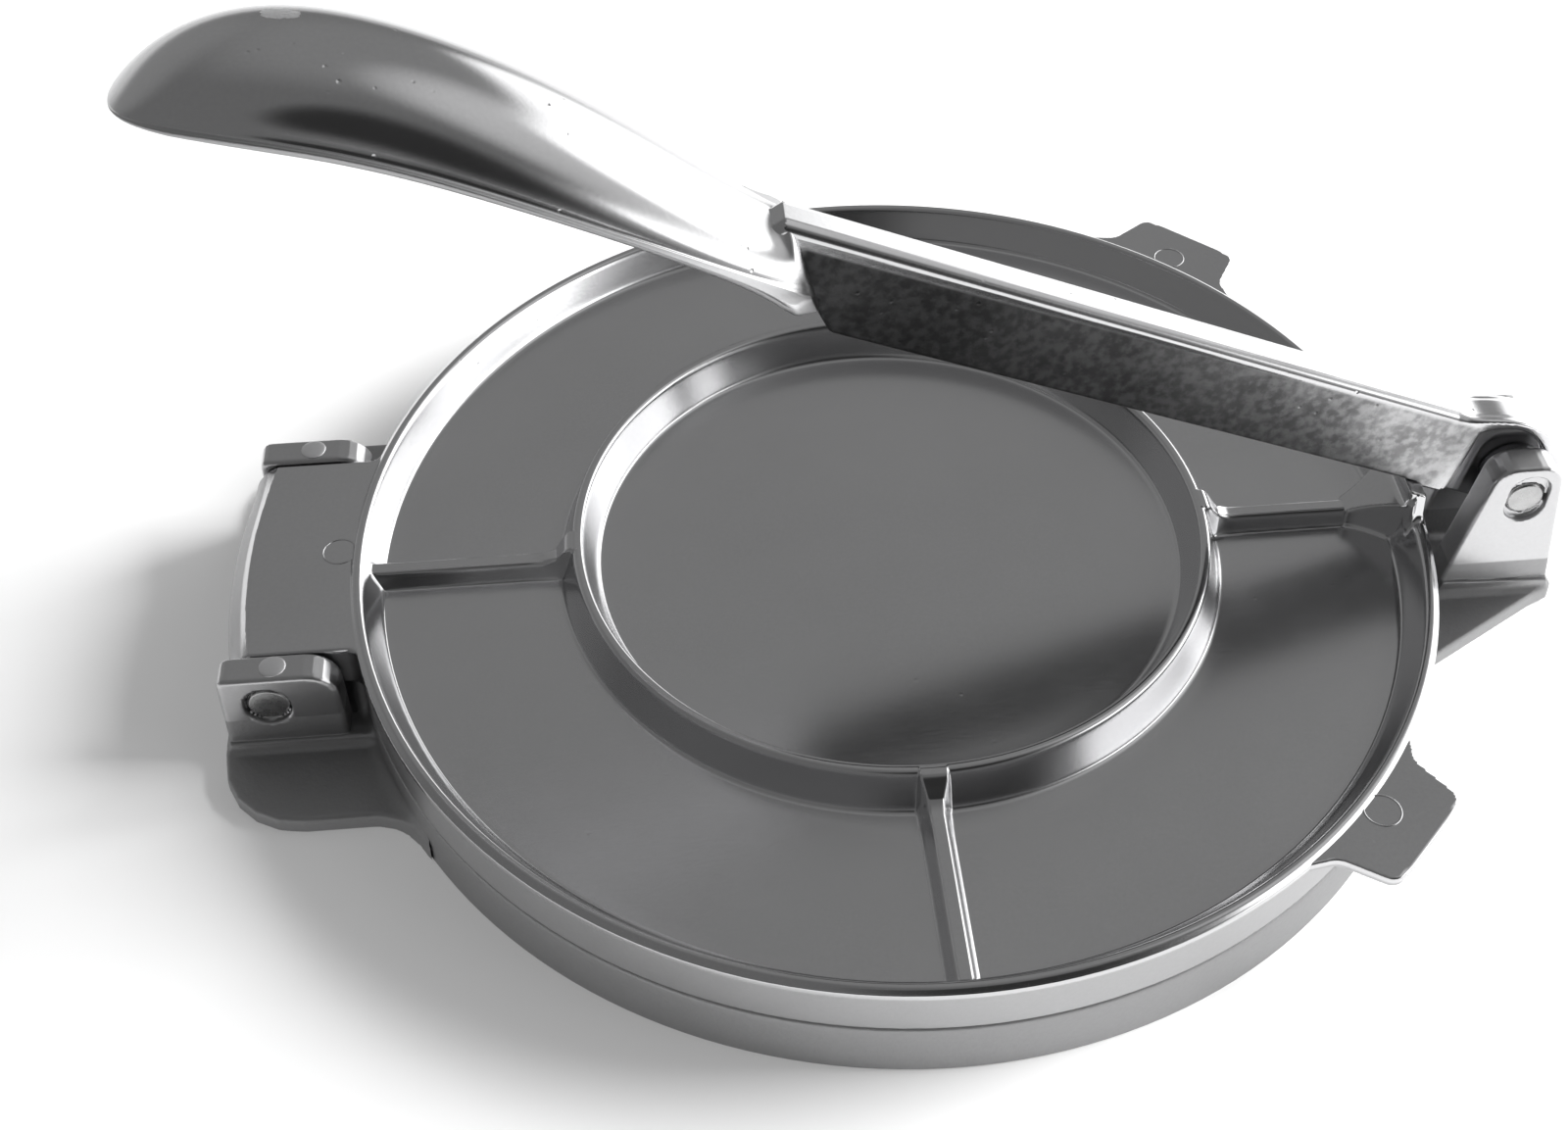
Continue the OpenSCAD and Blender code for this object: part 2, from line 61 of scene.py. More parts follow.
# %% Sizes of the plates, hinge, bracket and lever
PLATE_R = 105.0
BASE_H, LID_TOP = 11.7, 22.3
FOOT_R = 105.7
BASE_FACE, LID_FACE = 10.7, 12.2
PANEL_Z = 16.3
UNDER_Z = 3.8
FOOT_T = 4.0
RIDGE_R, RIDGE_W, RIDGE_RISE = 103.5, 2.4, 0.8
RIM_SLOPE, RING_SLOPE = math.radians(63), math.radians(71)
RING_R, RING_H, RING_TOP = 61.0, 8.1, 1.8
RIB_W, RIB_TOP, RIB_H = 5.4, 2.6, 3.8
UNDER_RIB_W, UNDER_RIB_TOP, UNDER_RIB_H = 4.4, 3.6, 3.3
NEAR_TAB, FAR_TAB = -45, 47
HINGE_X, HINGE_Y, HINGE_Z = -119.4, 3.0, 15.0
HINGE_PIN_R, HINGE_EAR_IN, HINGE_EAR_OUT, LUG_HALF = 4.0, 25.9, 32.2, 25.4
LEVER_X, LEVER_Z = 122.5, 28.6
LEVER_PIN_R, LEVER_EAR_IN, LEVER_EAR_OUT = 3.75, 4.5, 11.0
TILT = math.radians(22)
BEAM_HALF, BEAM_BELOW, BEAM_ABOVE, BEAM_LEN, GRIP_LEN = 4.0, 7.2, 9.9, 159.0, 107.0
print("plate", 2 * PLATE_R, "mm, lid top at", LID_TOP, "mm, lever pin at", (LEVER_X, LEVER_Z))

# %% [markdown]
# ## The camera
#
# The photograph looks down at the press from a little left of its middle, at about 47
# degrees above the table. A camera is placed by three directions: right, up and back.
# The small roll is that of a hand-held picture, and it is kept so that the rim lies on
# the page as it does in the photograph.

# %% Place the camera
PHOTO_WIDTH, FOCAL, SENSOR = 1600, 1990.33, 36
AIM, AWAY = Vector((-20.6293, 3.0333, 10)), 392.5987
elevation, azimuth, roll = 0.8142388641, -0.0786519172, -0.0101860269
back = Vector((
    math.cos(elevation) * math.sin(azimuth),
    -math.cos(elevation) * math.cos(azimuth),
    math.sin(elevation),
))
right = (-back).cross(Vector((0, 0, 1))).normalized()
up = right.cross(-back)
right, up = (
    math.cos(roll) * right + math.sin(roll) * up,
    math.cos(roll) * up - math.sin(roll) * right,
)
camera = bpy.data.objects.new("camera", bpy.data.cameras.new("camera"))
camera.data.sensor_width = SENSOR
camera.data.lens = FOCAL * SENSOR / PHOTO_WIDTH
turned_to_aim = Matrix((right, up, back)).transposed().to_4x4()
camera.matrix_world = Matrix.Translation((AIM + AWAY * back) * MM) @ turned_to_aim
bpy.context.scene.collection.objects.link(camera)
bpy.context.scene.camera = camera
bpy.context.scene.view_settings.view_transform = "Standard"
print("camera at", [round(v, 3) for v in camera.location], "lens", round(camera.data.lens, 2))

# %% [markdown]
# ## Node trees written as Python
#
# Materials and geometry trees are both graphs of nodes. Wiring them by hand hides the
# maths, so one small class wraps a socket and gives it Python's arithmetic: `1 - mask`
# then adds its own Math node. A second one holds the tree and adds any other node.

# %% A socket with arithmetic, and the tree that it belongs to
class Wire:
    def __init__(self, board, socket):
        self.board, self.socket = board, socket

    def __add__(self, other): return self.board.math("ADD", self, other)
    def __radd__(self, other): return self.board.math("ADD", other, self)
    def __sub__(self, other): return self.board.math("SUBTRACT", self, other)
    def __rsub__(self, other): return self.board.math("SUBTRACT", other, self)
    def __mul__(self, other): return self.board.math("MULTIPLY", self, other)
    def __rmul__(self, other): return self.board.math("MULTIPLY", other, self)
    def __truediv__(self, other): return self.board.math("DIVIDE", self, other)
    def __gt__(self, other): return self.board.math("GREATER_THAN", self, other)


class Board:
    def __init__(self, tree):
        self.tree = tree

    def node(self, kind, settings=None, values=None, out=0):
        new = self.tree.nodes.new(kind)
        for name, value in (settings or {}).items():
            if name == "stops":
                ramp = new.color_ramp.elements
                while len(ramp) < len(value):
                    ramp.new(0.5)
                for stop, (place, grey) in zip(ramp, value):
                    stop.position, stop.color = place, (grey, grey, grey, 1)
            else:
                setattr(new, name, value)
        for name, value in (values or {}).items():
            if isinstance(value, Wire):
                self.tree.links.new(value.socket, new.inputs[name])
            else:
                new.inputs[name].default_value = value
        return Wire(self, new.outputs[out])

    def math(self, operation, *values):
        return self.node("ShaderNodeMath", {"operation": operation}, dict(enumerate(values)))

    def between(self, value, low, high):
        """0 below low, 1 above high, and a smooth step between them."""
        return self.node(
            "ShaderNodeMapRange", {"interpolation_type": "SMOOTHSTEP"},
            {"Value": value, "From Min": low, "From Max": high},
        )

    def parts(self, vector):
        split = self.node("ShaderNodeSeparateXYZ", None, {0: vector}).socket.node
        return [Wire(self, s) for s in split.outputs]


print("wires carry + - * / and >")

# %% [markdown]
# ## Geometry trees
#
# What repeats on the press is left to Geometry Nodes: the ribs of both plates, which
# stand every quarter turn, and the round marks that the mould's ejector pins left. The
# helper makes a tree with named inputs, and `grown` runs it once and keeps the result
# as a plain mesh, because only plain meshes are exported.

# %% Make a geometry tree, and run it on a piece
def geometry_tree(name, inputs):
    tree = bpy.data.node_groups.new(name, "GeometryNodeTree")
    tree.interface.new_socket("Result", in_out="OUTPUT", socket_type="NodeSocketGeometry")
    for label, kind in inputs.items():
        tree.interface.new_socket(label, in_out="INPUT", socket_type="NodeSocket" + kind)
    entry = tree.nodes.new("NodeGroupInput")
    board = Board(tree)
    return board, {s.name: Wire(board, s) for s in entry.outputs if s.name}


def end_tree(board, geometry, material):
    real = board.node("GeometryNodeRealizeInstances", None, {0: geometry})
    named = board.node("GeometryNodeSetMaterial", None, {"Geometry": real, "Material": material})
    board.tree.links.new(named.socket, board.tree.nodes.new("NodeGroupOutput").inputs[0])


def grown(obj, board, values):
    modifier = obj.modifiers.new("grow", "NODES")
    modifier.node_group = board.tree
    for item in board.tree.interface.items_tree:
        if item.in_out == "INPUT" and item.name in values:
            modifier[item.identifier] = values[item.name]
    graph = bpy.context.evaluated_depsgraph_get()
    mesh = bpy.data.meshes.new_from_object(obj.evaluated_get(graph))
    obj.modifiers.remove(modifier)
    obj.data = mesh
    return obj


print("geometry trees are ready")

# %% [markdown]
# ## The finish of the castings
#
# Die-cast aluminium is polished where the wheel reaches: rings, ribs, rims and the
# handle are bright, the flat panels keep a satin skin, and hollows stay dull. A single
# grey would look like plastic. The finish below therefore changes three things over
# the surface: how rough it is, how grey it is, and how its skin bumps. Height above the
# table tells the panels from the ribs. The bumps come in three sizes: the long swell of
# a polished casting, the fine grain, and rare small pits.

# %% What every metal here has in common
def new_metal(name):
    """A material, its board and the place of the shaded point in the press's frame."""
    material = bpy.data.materials.new(name)
    material.use_nodes = True
    board = Board(material.node_tree)
    board.tree.nodes["Principled BSDF"].inputs["Metallic"].default_value = 1
    return material, board, board.node("ShaderNodeTexCoord", None, None, 3)


def end_metal(board, tone, blue, rough, height):
    bump = board.node(
        "ShaderNodeBump", None, {"Strength": 1.0, "Distance": 0.001, "Height": height}
    )
    colour = board.node("ShaderNodeCombineColor", None, {0: tone, 1: tone, 2: blue})
    shader = board.tree.nodes["Principled BSDF"]
    for wire, socket in ((colour, "Base Color"), (rough, "Roughness"), (bump, "Normal")):
        board.tree.links.new(wire.socket, shader.inputs[socket])


print("a metal is a tone, a roughness and a height")

# %% A cast aluminium finish
def cast_metal(name, grey, gloss, swell, grain, pits, sheen_zone=None, dull=None, scar=None):
    material, board, place = new_metal(name)
    x, y, z = board.parts(place)

    def noise(scale, detail=2.0, stretch=(1, 1, 1)):
        where = board.node("ShaderNodeMapping", None, {"Vector": place, "Scale": stretch})
        return board.node(
            "ShaderNodeTexNoise", None, {"Vector": where, "Scale": scale, "Detail": detail}
        )

    cloud = noise(35, 3)
    speckle = noise(1400, 2)
    scratch = noise(260, 2, (1, 9, 9))
    rough = gloss + (cloud - 0.5) * 0.08 + (scratch - 0.5) * 0.06
    tone = grey + (cloud - 0.5) * 0.06 + (speckle - 0.5) * 0.05
    if sheen_zone:
        rough = sheen_zone(board, x, y, z, rough)
    # where dull marks a surface it gets rougher and greyer: an unpolished skin, and on the beam's
    # sides also painted shade
    if dull:
        worn_and_shaded, shade = dull(board, x, y, z, noise)
        rough = rough + worn_and_shaded * 0.25
        tone = tone * (1 - worn_and_shaded * (1 - shade))
        grain = worn_and_shaded * (grain * 7) + grain
    if scar:
        torn = scar(board, x, y, z, noise)
        rough, tone = rough + torn * 0.25, tone * (1 + torn * 0.5)
        grain = torn * 0.25 + grain
    cell = board.node(
        "ShaderNodeTexVoronoi", None, {"Vector": place, "Scale": 330, "Randomness": 1}
    )
    pit = (1 - board.between(cell, 0.0, 0.17)) * board.between(noise(70, 3), 0.50, 0.66)
    height = (noise(45, 1) - 0.5) * swell + (speckle - 0.5) * grain - pit * pits
    end_metal(board, tone, tone * 1.012, rough, height)
    return material


def satin_panels(board, x, y, z, rough):
    """The flat web of the upper plate is a little duller than what stands above it."""
    radius = board.math("SQRT", x * x + y * y)
    flat = (1 - board.between(z, 0.0166, 0.0172)) * (1 - board.between(radius, 0.098, 0.0985))
    return rough + flat * 0.07


def round_wall(top, shade):
    """The plates' outer walls aren't polished: where that holds, and how grey they are."""
    def wall_of(board, x, y, z, noise):
        outside = board.between(board.math("SQRT", x * x + y * y), 0.1042, 0.1047)
        above_table = board.between(z, -0.0005, 0.0)
        return outside * above_table * (1 - board.between(z, top, top + 0.0006)), shade
    return wall_of


def beam_skin_and_painted_shade(board, x, y, z, noise):
    """The beam's sides and the handle's lip stay as they came out of the mould; the beam's sides
    also carry painted shade, darkest towards the handle.
    """
    along = (LEVER_X * MM - x) * math.cos(TILT) + (z - LEVER_Z * MM) * math.sin(TILT)
    over = (z - LEVER_Z * MM) * math.cos(TILT) - (LEVER_X * MM - x) * math.sin(TILT)
    on_beam = 1 - board.between(along, 0.153, 0.156)
    near_pin = board.between(along, 0.012, 0.017)
    low = 1 - board.between(over, 0.0080, 0.0092)
    beam = on_beam * near_pin * low
    lip = board.node("ShaderNodeAttribute", {"attribute_name": "as_cast"}, None, 2)
    speck = board.between(noise(560, 6), 0.36, 0.66)
    stain = board.between(noise(90, 3), 0.30, 0.70)
    # painted shade: the beam's sides darken towards the handle like the dark plate that they
    # reflect; the speckle and stain are the skin's own mottle
    shade = (0.11 + 0.46 * board.between(x, 0.0, 0.10)) * (0.65 + speck * 0.55 + stain * 0.3)
    return board.math("MAXIMUM", beam, lip), lip * 0.72 + (1 - lip) * shade


def gate_scar(board, x, y, z, noise):
    """Where the casting was broken off its runner, on the handle's crest."""
    across, along = (y - 0.004) / 0.0025, (x + 0.0965) / 0.0034
    away = board.math("SQRT", across * across + along * along) + (noise(300, 2) - 0.5) * 1.2
    return (1 - board.between(away, 0.7, 0.9)) * (z > 0.1)


cast_lid = cast_metal(
    "cast_lid", 0.60, 0.15, 0.010, 0.004, 0.02, satin_panels, round_wall(0.0208, 0.72)
)
cast_base = cast_metal(
    "cast_base", 0.55, 0.30, 0.020, 0.008, 0.05, dull=round_wall(0.0116, 0.68)
)
# the lever's beam gets painted shade on its sides, darker towards the handle
cast_lever = cast_metal(
    "cast_lever", 0.62, 0.15, 0.040, 0.004, 0.12, dull=beam_skin_and_painted_shade, scar=gate_scar
)
cast_mark = cast_metal("cast_mark", 0.80, 0.45, 0.010, 0.010, 0.02)
print("finishes:", cast_lid.name, cast_base.name, cast_lever.name)

# %% [markdown]
# The two pins are drawn steel rod: darker than the castings, with fine lines round the
# rod from the drawing die.

# %% A drawn steel finish
def drawn_steel(name):
    material, board, place = new_metal(name)
    stretched = board.node("ShaderNodeMapping", None, {"Vector": place, "Scale": (1, 14, 1)})
    lines = board.node("ShaderNodeTexNoise", None, {"Vector": stretched, "Scale": 500})
    spots = board.node("ShaderNodeTexNoise", None, {"Vector": place, "Scale": 300, "Detail": 3})
    tone = 0.42 + (spots - 0.5) * 0.18
    rough = 0.28 + (lines - 0.5) * 0.2
    end_metal(board, tone, tone, rough, (lines - 0.5) * 0.02 + spots * 0.03)
    return material


pin_steel = drawn_steel("pin_steel")
print("finish:", pin_steel.name)

# %% [markdown]
# ## From numbers to a mesh
#
# Each piece becomes one mesh object whose vertices hold its place, so the object itself
# stays at the origin.

# %% Make a mesh object from points and faces
def mesh_object(name, points, faces, material, normals=None):
    mesh = bpy.data.meshes.new(name)
    mesh.from_pydata((np.asarray(points) * MM).tolist(), [], [list(f) for f in faces])
    mesh.update()
    mesh.polygons.foreach_set("use_smooth", [True] * len(mesh.polygons))
    if normals is not None:
        mesh.normals_split_custom_set_from_vertices(normals)
    mesh.materials.append(material)
    obj = bpy.data.objects.new(name, mesh)
    bpy.context.scene.collection.objects.link(obj)
    return obj


def report(obj):
    obj.data.calc_loop_triangles()
    print(obj.name, len(obj.data.vertices), "points", len(obj.data.loop_triangles), "triangles")
    return obj


print("mesh helpers are ready")

# %% [markdown]
# ## The round plates
#
# A plate is its section turned round the middle. Lathing it from a handful of points
# would leave knife edges, so the section is first walked in small steps and smoothed
# like a rope pulled through sand: every inner and outer corner settles into a soft
# curve. Then the points are thinned where the line is straight.

# %% Settle a section's corners, and thin its points
def arc(cx, cz, r, start, turn, steps=24):
    a = np.radians(start + turn * np.arange(steps + 1) / steps)
    return [(cx + r * math.cos(t), cz + r * math.sin(t)) for t in a]


def settled(points, softness, step=0.1):
    points = np.array(points, float)
    length = np.r_[0, np.cumsum(np.hypot(*np.diff(points, axis=0).T))]
    n = int(length[-1] / step)
    s = np.linspace(0, length[-1], n + 1)
    fine = np.c_[np.interp(s, length, points[:, 0]), np.interp(s, length, points[:, 1])]
    reach = int(4 * softness / step)
    weights = np.exp(-0.5 * (np.arange(-reach, reach + 1) * step / softness) ** 2)
    weights /= weights.sum()
    first, last = fine[0], fine[-1]
    padded = np.r_[
        2 * first - fine[reach:0:-1], fine, 2 * last - fine[-2:-reach - 2:-1]
    ]
    soft = np.c_[[np.convolve(padded[:, k], weights, "valid") for k in (0, 1)]].T
    return thinned(soft)


def thinned(points, slack=0.008, longest=3.0, step=0.1):
    keep_at = [0]
    i, n = 0, len(points)
    while i < n - 1:
        j = i + 1
        while j + 1 < n and (j + 1 - i) * step <= longest:
            a, b = points[i], points[j + 1]
            mid = points[i + 1:j + 1] - a
            along = (b - a) / max(np.hypot(*(b - a)), 1e-9)
            if np.abs(mid[:, 0] * along[1] - mid[:, 1] * along[0]).max() > slack:
                break
            j += 1
        keep_at.append(j)
        i = j
    return points[keep_at]


def split(points, rise=0.7):
    """Extra points where the line is steep, so that the ribs can meet the walls."""
    out = [points[0]]
    for a, b in zip(points, points[1:]):
        n = max(1, math.ceil(abs(b[1] - a[1]) / rise)) if a[1] > PANEL_Z - 0.5 else 1
        out += [a + (b - a) * k / n for k in range(1, n + 1)]
    return np.array(out)


ridge_a = math.degrees(math.asin(1 - 2 * RIDGE_RISE / RIDGE_W))
ridge_z = LID_TOP + RIDGE_RISE - RIDGE_W / 2
brow = (RIDGE_R - RIDGE_W / 2 * math.sin(RIM_SLOPE), ridge_z + RIDGE_W / 2 * math.cos(RIM_SLOPE))
wall_foot = brow[0] - (brow[1] - PANEL_Z) / math.tan(RIM_SLOPE)
ring_run, crest_z = RING_H / math.tan(RING_SLOPE), PANEL_Z + RING_H
inside = settled(
    [brow, (wall_foot, PANEL_Z), (RING_R + RING_TOP / 2 + ring_run, PANEL_Z),
     (RING_R + RING_TOP / 2, crest_z), (RING_R - RING_TOP / 2, crest_z),
     (RING_R - RING_TOP / 2 - ring_run, PANEL_Z), (40, PANEL_Z)],
    0.5,
)
lid_section = settled(
    [(0, LID_FACE), (97, LID_FACE), (98, BASE_H), (104.5, BASE_H), (105, BASE_H + 0.5),
     (105, LID_TOP)]
    + arc(RIDGE_R, ridge_z, RIDGE_W / 2, ridge_a, 153 - ridge_a)
    + [tuple(p) for p in inside[1:]] + [(0, PANEL_Z)],
    0.24,
)
lid_section = split(lid_section)
base_section = settled(
    [(0, UNDER_Z), (60, UNDER_Z), (98, UNDER_Z), (98, 0), (105.7, 0), (105, BASE_H - 0.5),
     (104.5, BASE_H), (98, BASE_H), (97, BASE_FACE), (0, BASE_FACE)],
    0.3,
)
print("lid section", len(lid_section), "points, base section", len(base_section))

# %% [markdown]
# The section is turned into a skin of columns. They stand closer together near the four
# ribs, because a rib's flank is only 1.4 mm wide and needs several columns across it.

# %% Turn a section round the middle
def column_angles():
    reach, step = 3.75, 0.15
    near = np.arange(-reach, reach + 0.01, step)
    far = np.linspace(reach, 90 - reach, 42)[1:-1]
    return np.radians(np.concatenate([np.r_[near, far] + 90 * k for k in range(4)]))


def lathe(section, turn, place):
    """Points and faces of a section whose two ends lie on the axis."""
    n, ring = len(turn), section[1:-1]
    points = [place(0, section[0][1], 0)]
    points += [place(r, h, a) for r, h in ring for a in turn]
    points.append(place(0, section[-1][1], 0))
    faces = []
    for i in range(len(ring) - 1):
        for j in range(n):
            k = (j + 1) % n
            a, b = 1 + i * n, 1 + (i + 1) * n
            faces.append((a + j, a + k, b + k, b + j))
    last, end = 1 + (len(ring) - 1) * n, len(points) - 1
    for j in range(n):
        k = (j + 1) % n
        faces += [(0, 1 + k, 1 + j), (end, last + j, last + k)]
    return points, faces


def turned(name, section, material, raised):
    """A plate; `raised` says which of its points the rib tree may lift."""
    turn = column_angles()
    points, faces = lathe(
        section, turn, lambda r, z, a: (r * math.cos(a), r * math.sin(a), z)
    )
    obj = mesh_object(name, points, faces, material)
    mark = obj.data.attributes.new("raised", "FLOAT", "POINT")
    values = [float(raised(r, z)) for r, z in section[1:-1] for _ in turn]
    mark.data.foreach_set("value", [0.0] + values + [0.0])
    return obj


lid_plate = turned(
    "lid_plate", lid_section, cast_lid,
    lambda r, z: z > PANEL_Z - 0.5 and RING_R < r < RIDGE_R,
)
base_plate = turned(
    "base_plate", base_section, cast_base,
    lambda r, z: z <= UNDER_Z + 0.3 and r < 98.6,
)
report(lid_plate), report(base_plate)

# %% [markdown]
# ## Ribs that rise out of the plates
#
# Four ribs tie the inner ring to the rim. They could be separate bars, but then a hard
# line would show where they meet the plate. On a casting the skin just rises, so the
# geometry tree lifts the plate's own points: a point near a rib's middle line gets the
# rib's height, and a smooth maximum blends that with the height that it has already,
# which also flares the rib's ends into ring and rim. The same tree, turned over, raises
# the ribs and the ring under the base.

# %% The rib tree
board, wire = geometry_tree("raised_ribs", {
    "Plate": "Geometry", "Rib width": "Float", "Rib top": "Float", "Rib height": "Float",
    "Blend": "Float", "Web height": "Float",
    "Ring radius": "Float", "Climb": "Float", "Side": "Float", "Metal": "Material",
})
position = board.node("GeometryNodeInputPosition")
x, y, z = board.parts(position)
off_rib = board.math("MINIMUM", board.math("ABSOLUTE", x), board.math("ABSOLUTE", y))
radius = board.math("SQRT", x * x + y * y)
off_ring = board.math("ABSOLUTE", radius - wire["Ring radius"])
FAR_AWAY = 1000  # the upper plate has its ring in its section already
off = board.math(
    "MINIMUM", off_rib, off_ring + board.math("MAXIMUM", wire["Side"], 0) * FAR_AWAY
)
climb = wire["Climb"] * (1 - board.between(radius - wire["Ring radius"], 0.0012, 0.0058))
half_foot, half_top = (wire[k] * 0.5 + climb * 0.3 for k in ("Rib width", "Rib top"))
crown = board.math("SMOOTH_MIN", (half_foot - off) / (half_foot - half_top), 1, 0.3)
lifted = wire["Side"] * board.math(
    "SMOOTH_MAX", wire["Side"] * z,
    wire["Side"] * wire["Web height"]
    + board.math("MAXIMUM", crown, -0.3) * (wire["Rib height"] + climb),
    wire["Blend"],
)
marked = board.node(
    "GeometryNodeInputNamedAttribute", {"data_type": "FLOAT"}, {"Name": "raised"}
)
target = board.node("ShaderNodeCombineXYZ", None, {0: x, 1: y, 2: lifted})
raised = board.node(
    "GeometryNodeSetPosition", None,
    {"Geometry": wire["Plate"], "Selection": marked > 0.5, "Position": target},
)
end_tree(board, raised, wire["Metal"])
rib_tree = board
print("rib tree:", len(rib_tree.tree.nodes), "nodes")

# %% Raise the ribs on both plates
grown(lid_plate, rib_tree, {
    "Rib width": RIB_W * MM, "Rib top": RIB_TOP * MM, "Rib height": RIB_H * MM,
    "Blend": 0.7 * MM, "Web height": PANEL_Z * MM, "Ring radius": RING_R * MM,
    "Climb": (RING_H - RIB_H) * MM, "Side": 1.0,
    "Metal": cast_lid,
})
grown(base_plate, rib_tree, {
    "Rib width": UNDER_RIB_W * MM, "Rib top": UNDER_RIB_TOP * MM,
    "Rib height": UNDER_RIB_H * MM, "Blend": 0.5 * MM, "Web height": UNDER_Z * MM,
    "Ring radius": RING_R * MM, "Climb": 0.0, "Side": -1.0, "Metal": cast_base,
})
for plate in (lid_plate, base_plate):
    tops = [v.co.z for v in plate.data.vertices]
    print(plate.name, "z from", round(min(tops) / MM, 2), "to", round(max(tops) / MM, 2))

# %% [markdown]
# ## Skins for the ears, feet and lugs
#
# Ears, feet, tabs, lug, pad and the lever's hub are blocks that flow into each other
# with hollow fillets and have rounded edges. Bevels on such mixed shapes break easily.
# Here each one is written as a distance: a formula that is negative inside the metal.
# Joining two distances with a radius gives the fillet, keeping their overlap with a
# radius gives the rounded edge. A grid of small cells then finds where the distance is
# zero, one point per cell, and each point slides onto the true surface.

# %% Distances: outlines, joins and cuts
def join(a, b, r):
    return np.maximum(r, np.minimum(a, b)) - np.hypot(
        np.maximum(r - a, 0), np.maximum(r - b, 0)
    )


def keep(a, b, r):
    return np.minimum(-r, np.maximum(a, b)) + np.hypot(
        np.maximum(r + a, 0), np.maximum(r + b, 0)
    )


def cut(a, b, r):
    return keep(a, -b, r)


def rounded(corners, steps=5):
    """An outline with round corners: each corner is (x, y, radius)."""
    out = []
    n = len(corners)
    for i in range(n):
        before, here, after = (np.array(corners[k % n][:2], float) for k in (i - 1, i, i + 1))
        r = corners[i][2]
        u = (before - here) / np.hypot(*(before - here))
        v = (after - here) / np.hypot(*(after - here))
        half = math.acos(np.clip(u @ v, -1, 1)) / 2
        if r <= 0:
            out.append(here)
            continue
        centre = here + (u + v) / np.hypot(*(u + v)) * r / math.sin(half)
        p, q = here + u * r / math.tan(half), here + v * r / math.tan(half)
        a, b = (math.atan2(*(c - centre)[::-1]) for c in (p, q))
        turn = (b - a + 3 * math.pi) % (2 * math.pi) - math.pi
        out += [
            centre + r * np.array([math.cos(a + turn * k / steps), math.sin(a + turn * k / steps)])
            for k in range(steps + 1)
        ]
    return np.array(out)


def mirrored(corners):
    return corners + [(x, -y, r) for x, y, r in reversed(corners)]


def outline(points, x, y):
    """Distance to a closed outline, negative inside."""
    best, sign = np.full(x.shape, 1e9), np.ones(x.shape)
    for (ax, ay), (bx, by) in zip(points, np.roll(points, -1, axis=0)):
        ex, ey, wx, wy = bx - ax, by - ay, x - ax, y - ay
        t = np.clip((wx * ex + wy * ey) / (ex * ex + ey * ey + 1e-12), 0, 1)
        best = np.minimum(best, (wx - ex * t) ** 2 + (wy - ey * t) ** 2)
        above, below, left = y >= ay, y < by, ex * wy > ey * wx
        sign = np.where((above & below & left) | ~(above | below | left), -sign, sign)
    return sign * np.sqrt(best)


def rod(x, z, cx, cz, r):
    return np.hypot(x - cx, z - cz) - r


print("distance of a 2 mm disc at 5 mm:", rod(np.array(5.0), np.array(0.0), 0, 0, 2))

# %% [markdown]
# The skin is found in three moves. Cells that the surface crosses get one point each,
# at the mean of the crossings on their edges. The point then slides along the steepest
# slope until its distance is zero. Last, every grid edge that the surface crosses
# joins its four cells into one face.

# %% Find the skin of a distance
def slope(field, p, e=0.02):
    grad = np.zeros_like(p)
    for k in range(3):
        step = np.zeros(3)
        step[k] = e
        grad[:, k] = (field(*(p + step).T) - field(*(p - step).T)) / (2 * e)
    return grad


def skin(field, *axes):
    xs, ys, zs = (np.asarray(a, float) for a in axes)
    value = field(*np.meshgrid(xs, ys, zs, indexing="ij"))
    inside = value < 0
    shape = tuple(n - 1 for n in value.shape)
    corners = list(product((0, 1), repeat=3))
    count = sum(
        inside[i:i + shape[0], j:j + shape[1], k:k + shape[2]].astype(np.int8)
        for i, j, k in corners
    )
    active = (count > 0) & (count < 8)
    cells = np.argwhere(active)
    number = np.full(shape, -1)
    number[active] = np.arange(len(cells))
    total, hits = np.zeros((len(cells), 3)), np.zeros(len(cells))
    grid = (xs, ys, zs)
    for a, b in product(corners, repeat=2):
        if sum(abs(p - q) for p, q in zip(a, b)) != 1 or a > b:
            continue
        va, vb = value[tuple((cells + a).T)], value[tuple((cells + b).T)]
        m = (va < 0) != (vb < 0)
        t = np.where(m, va / np.where(m, va - vb, 1), 0)
        pa = np.stack([grid[k][cells[:, k] + a[k]] for k in range(3)], 1)
        pb = np.stack([grid[k][cells[:, k] + b[k]] for k in range(3)], 1)
        total += (pa + (pb - pa) * t[:, None]) * m[:, None]
        hits += m
    points = total / hits[:, None]
    for _ in range(4):
        g = slope(field, points)
        move = field(*points.T)[:, None] * g / np.maximum((g * g).sum(1), 0.2)[:, None]
        points -= np.clip(move, -0.3, 0.3)
    normals = slope(field, points)
    normals /= np.maximum(np.linalg.norm(normals, axis=1), 1e-9)[:, None]
    return points, skin_faces(inside, number), normals


def skin_faces(inside, number):
    faces = []
    for k in range(3):
        u, v = [(1, 2), (2, 0), (0, 1)][k]
        low = np.take(inside, range(inside.shape[k] - 1), k)
        high = np.take(inside, range(1, inside.shape[k]), k)
        at = np.argwhere(low != high)
        limit = np.array(number.shape)
        ok = (at[:, u] > 0) & (at[:, v] > 0) & (at[:, u] < limit[u]) & (at[:, v] < limit[v])
        at = at[ok]
        du, dv = np.eye(3, dtype=int)[u], np.eye(3, dtype=int)[v]
        quad = np.stack([number[tuple((at - d).T)] for d in (du + dv, dv, 0 * du, du)], 1)
        flip = high[tuple(at.T)]
        quad[flip] = quad[flip][:, ::-1]
        faces.append(quad)
    return np.concatenate(faces)


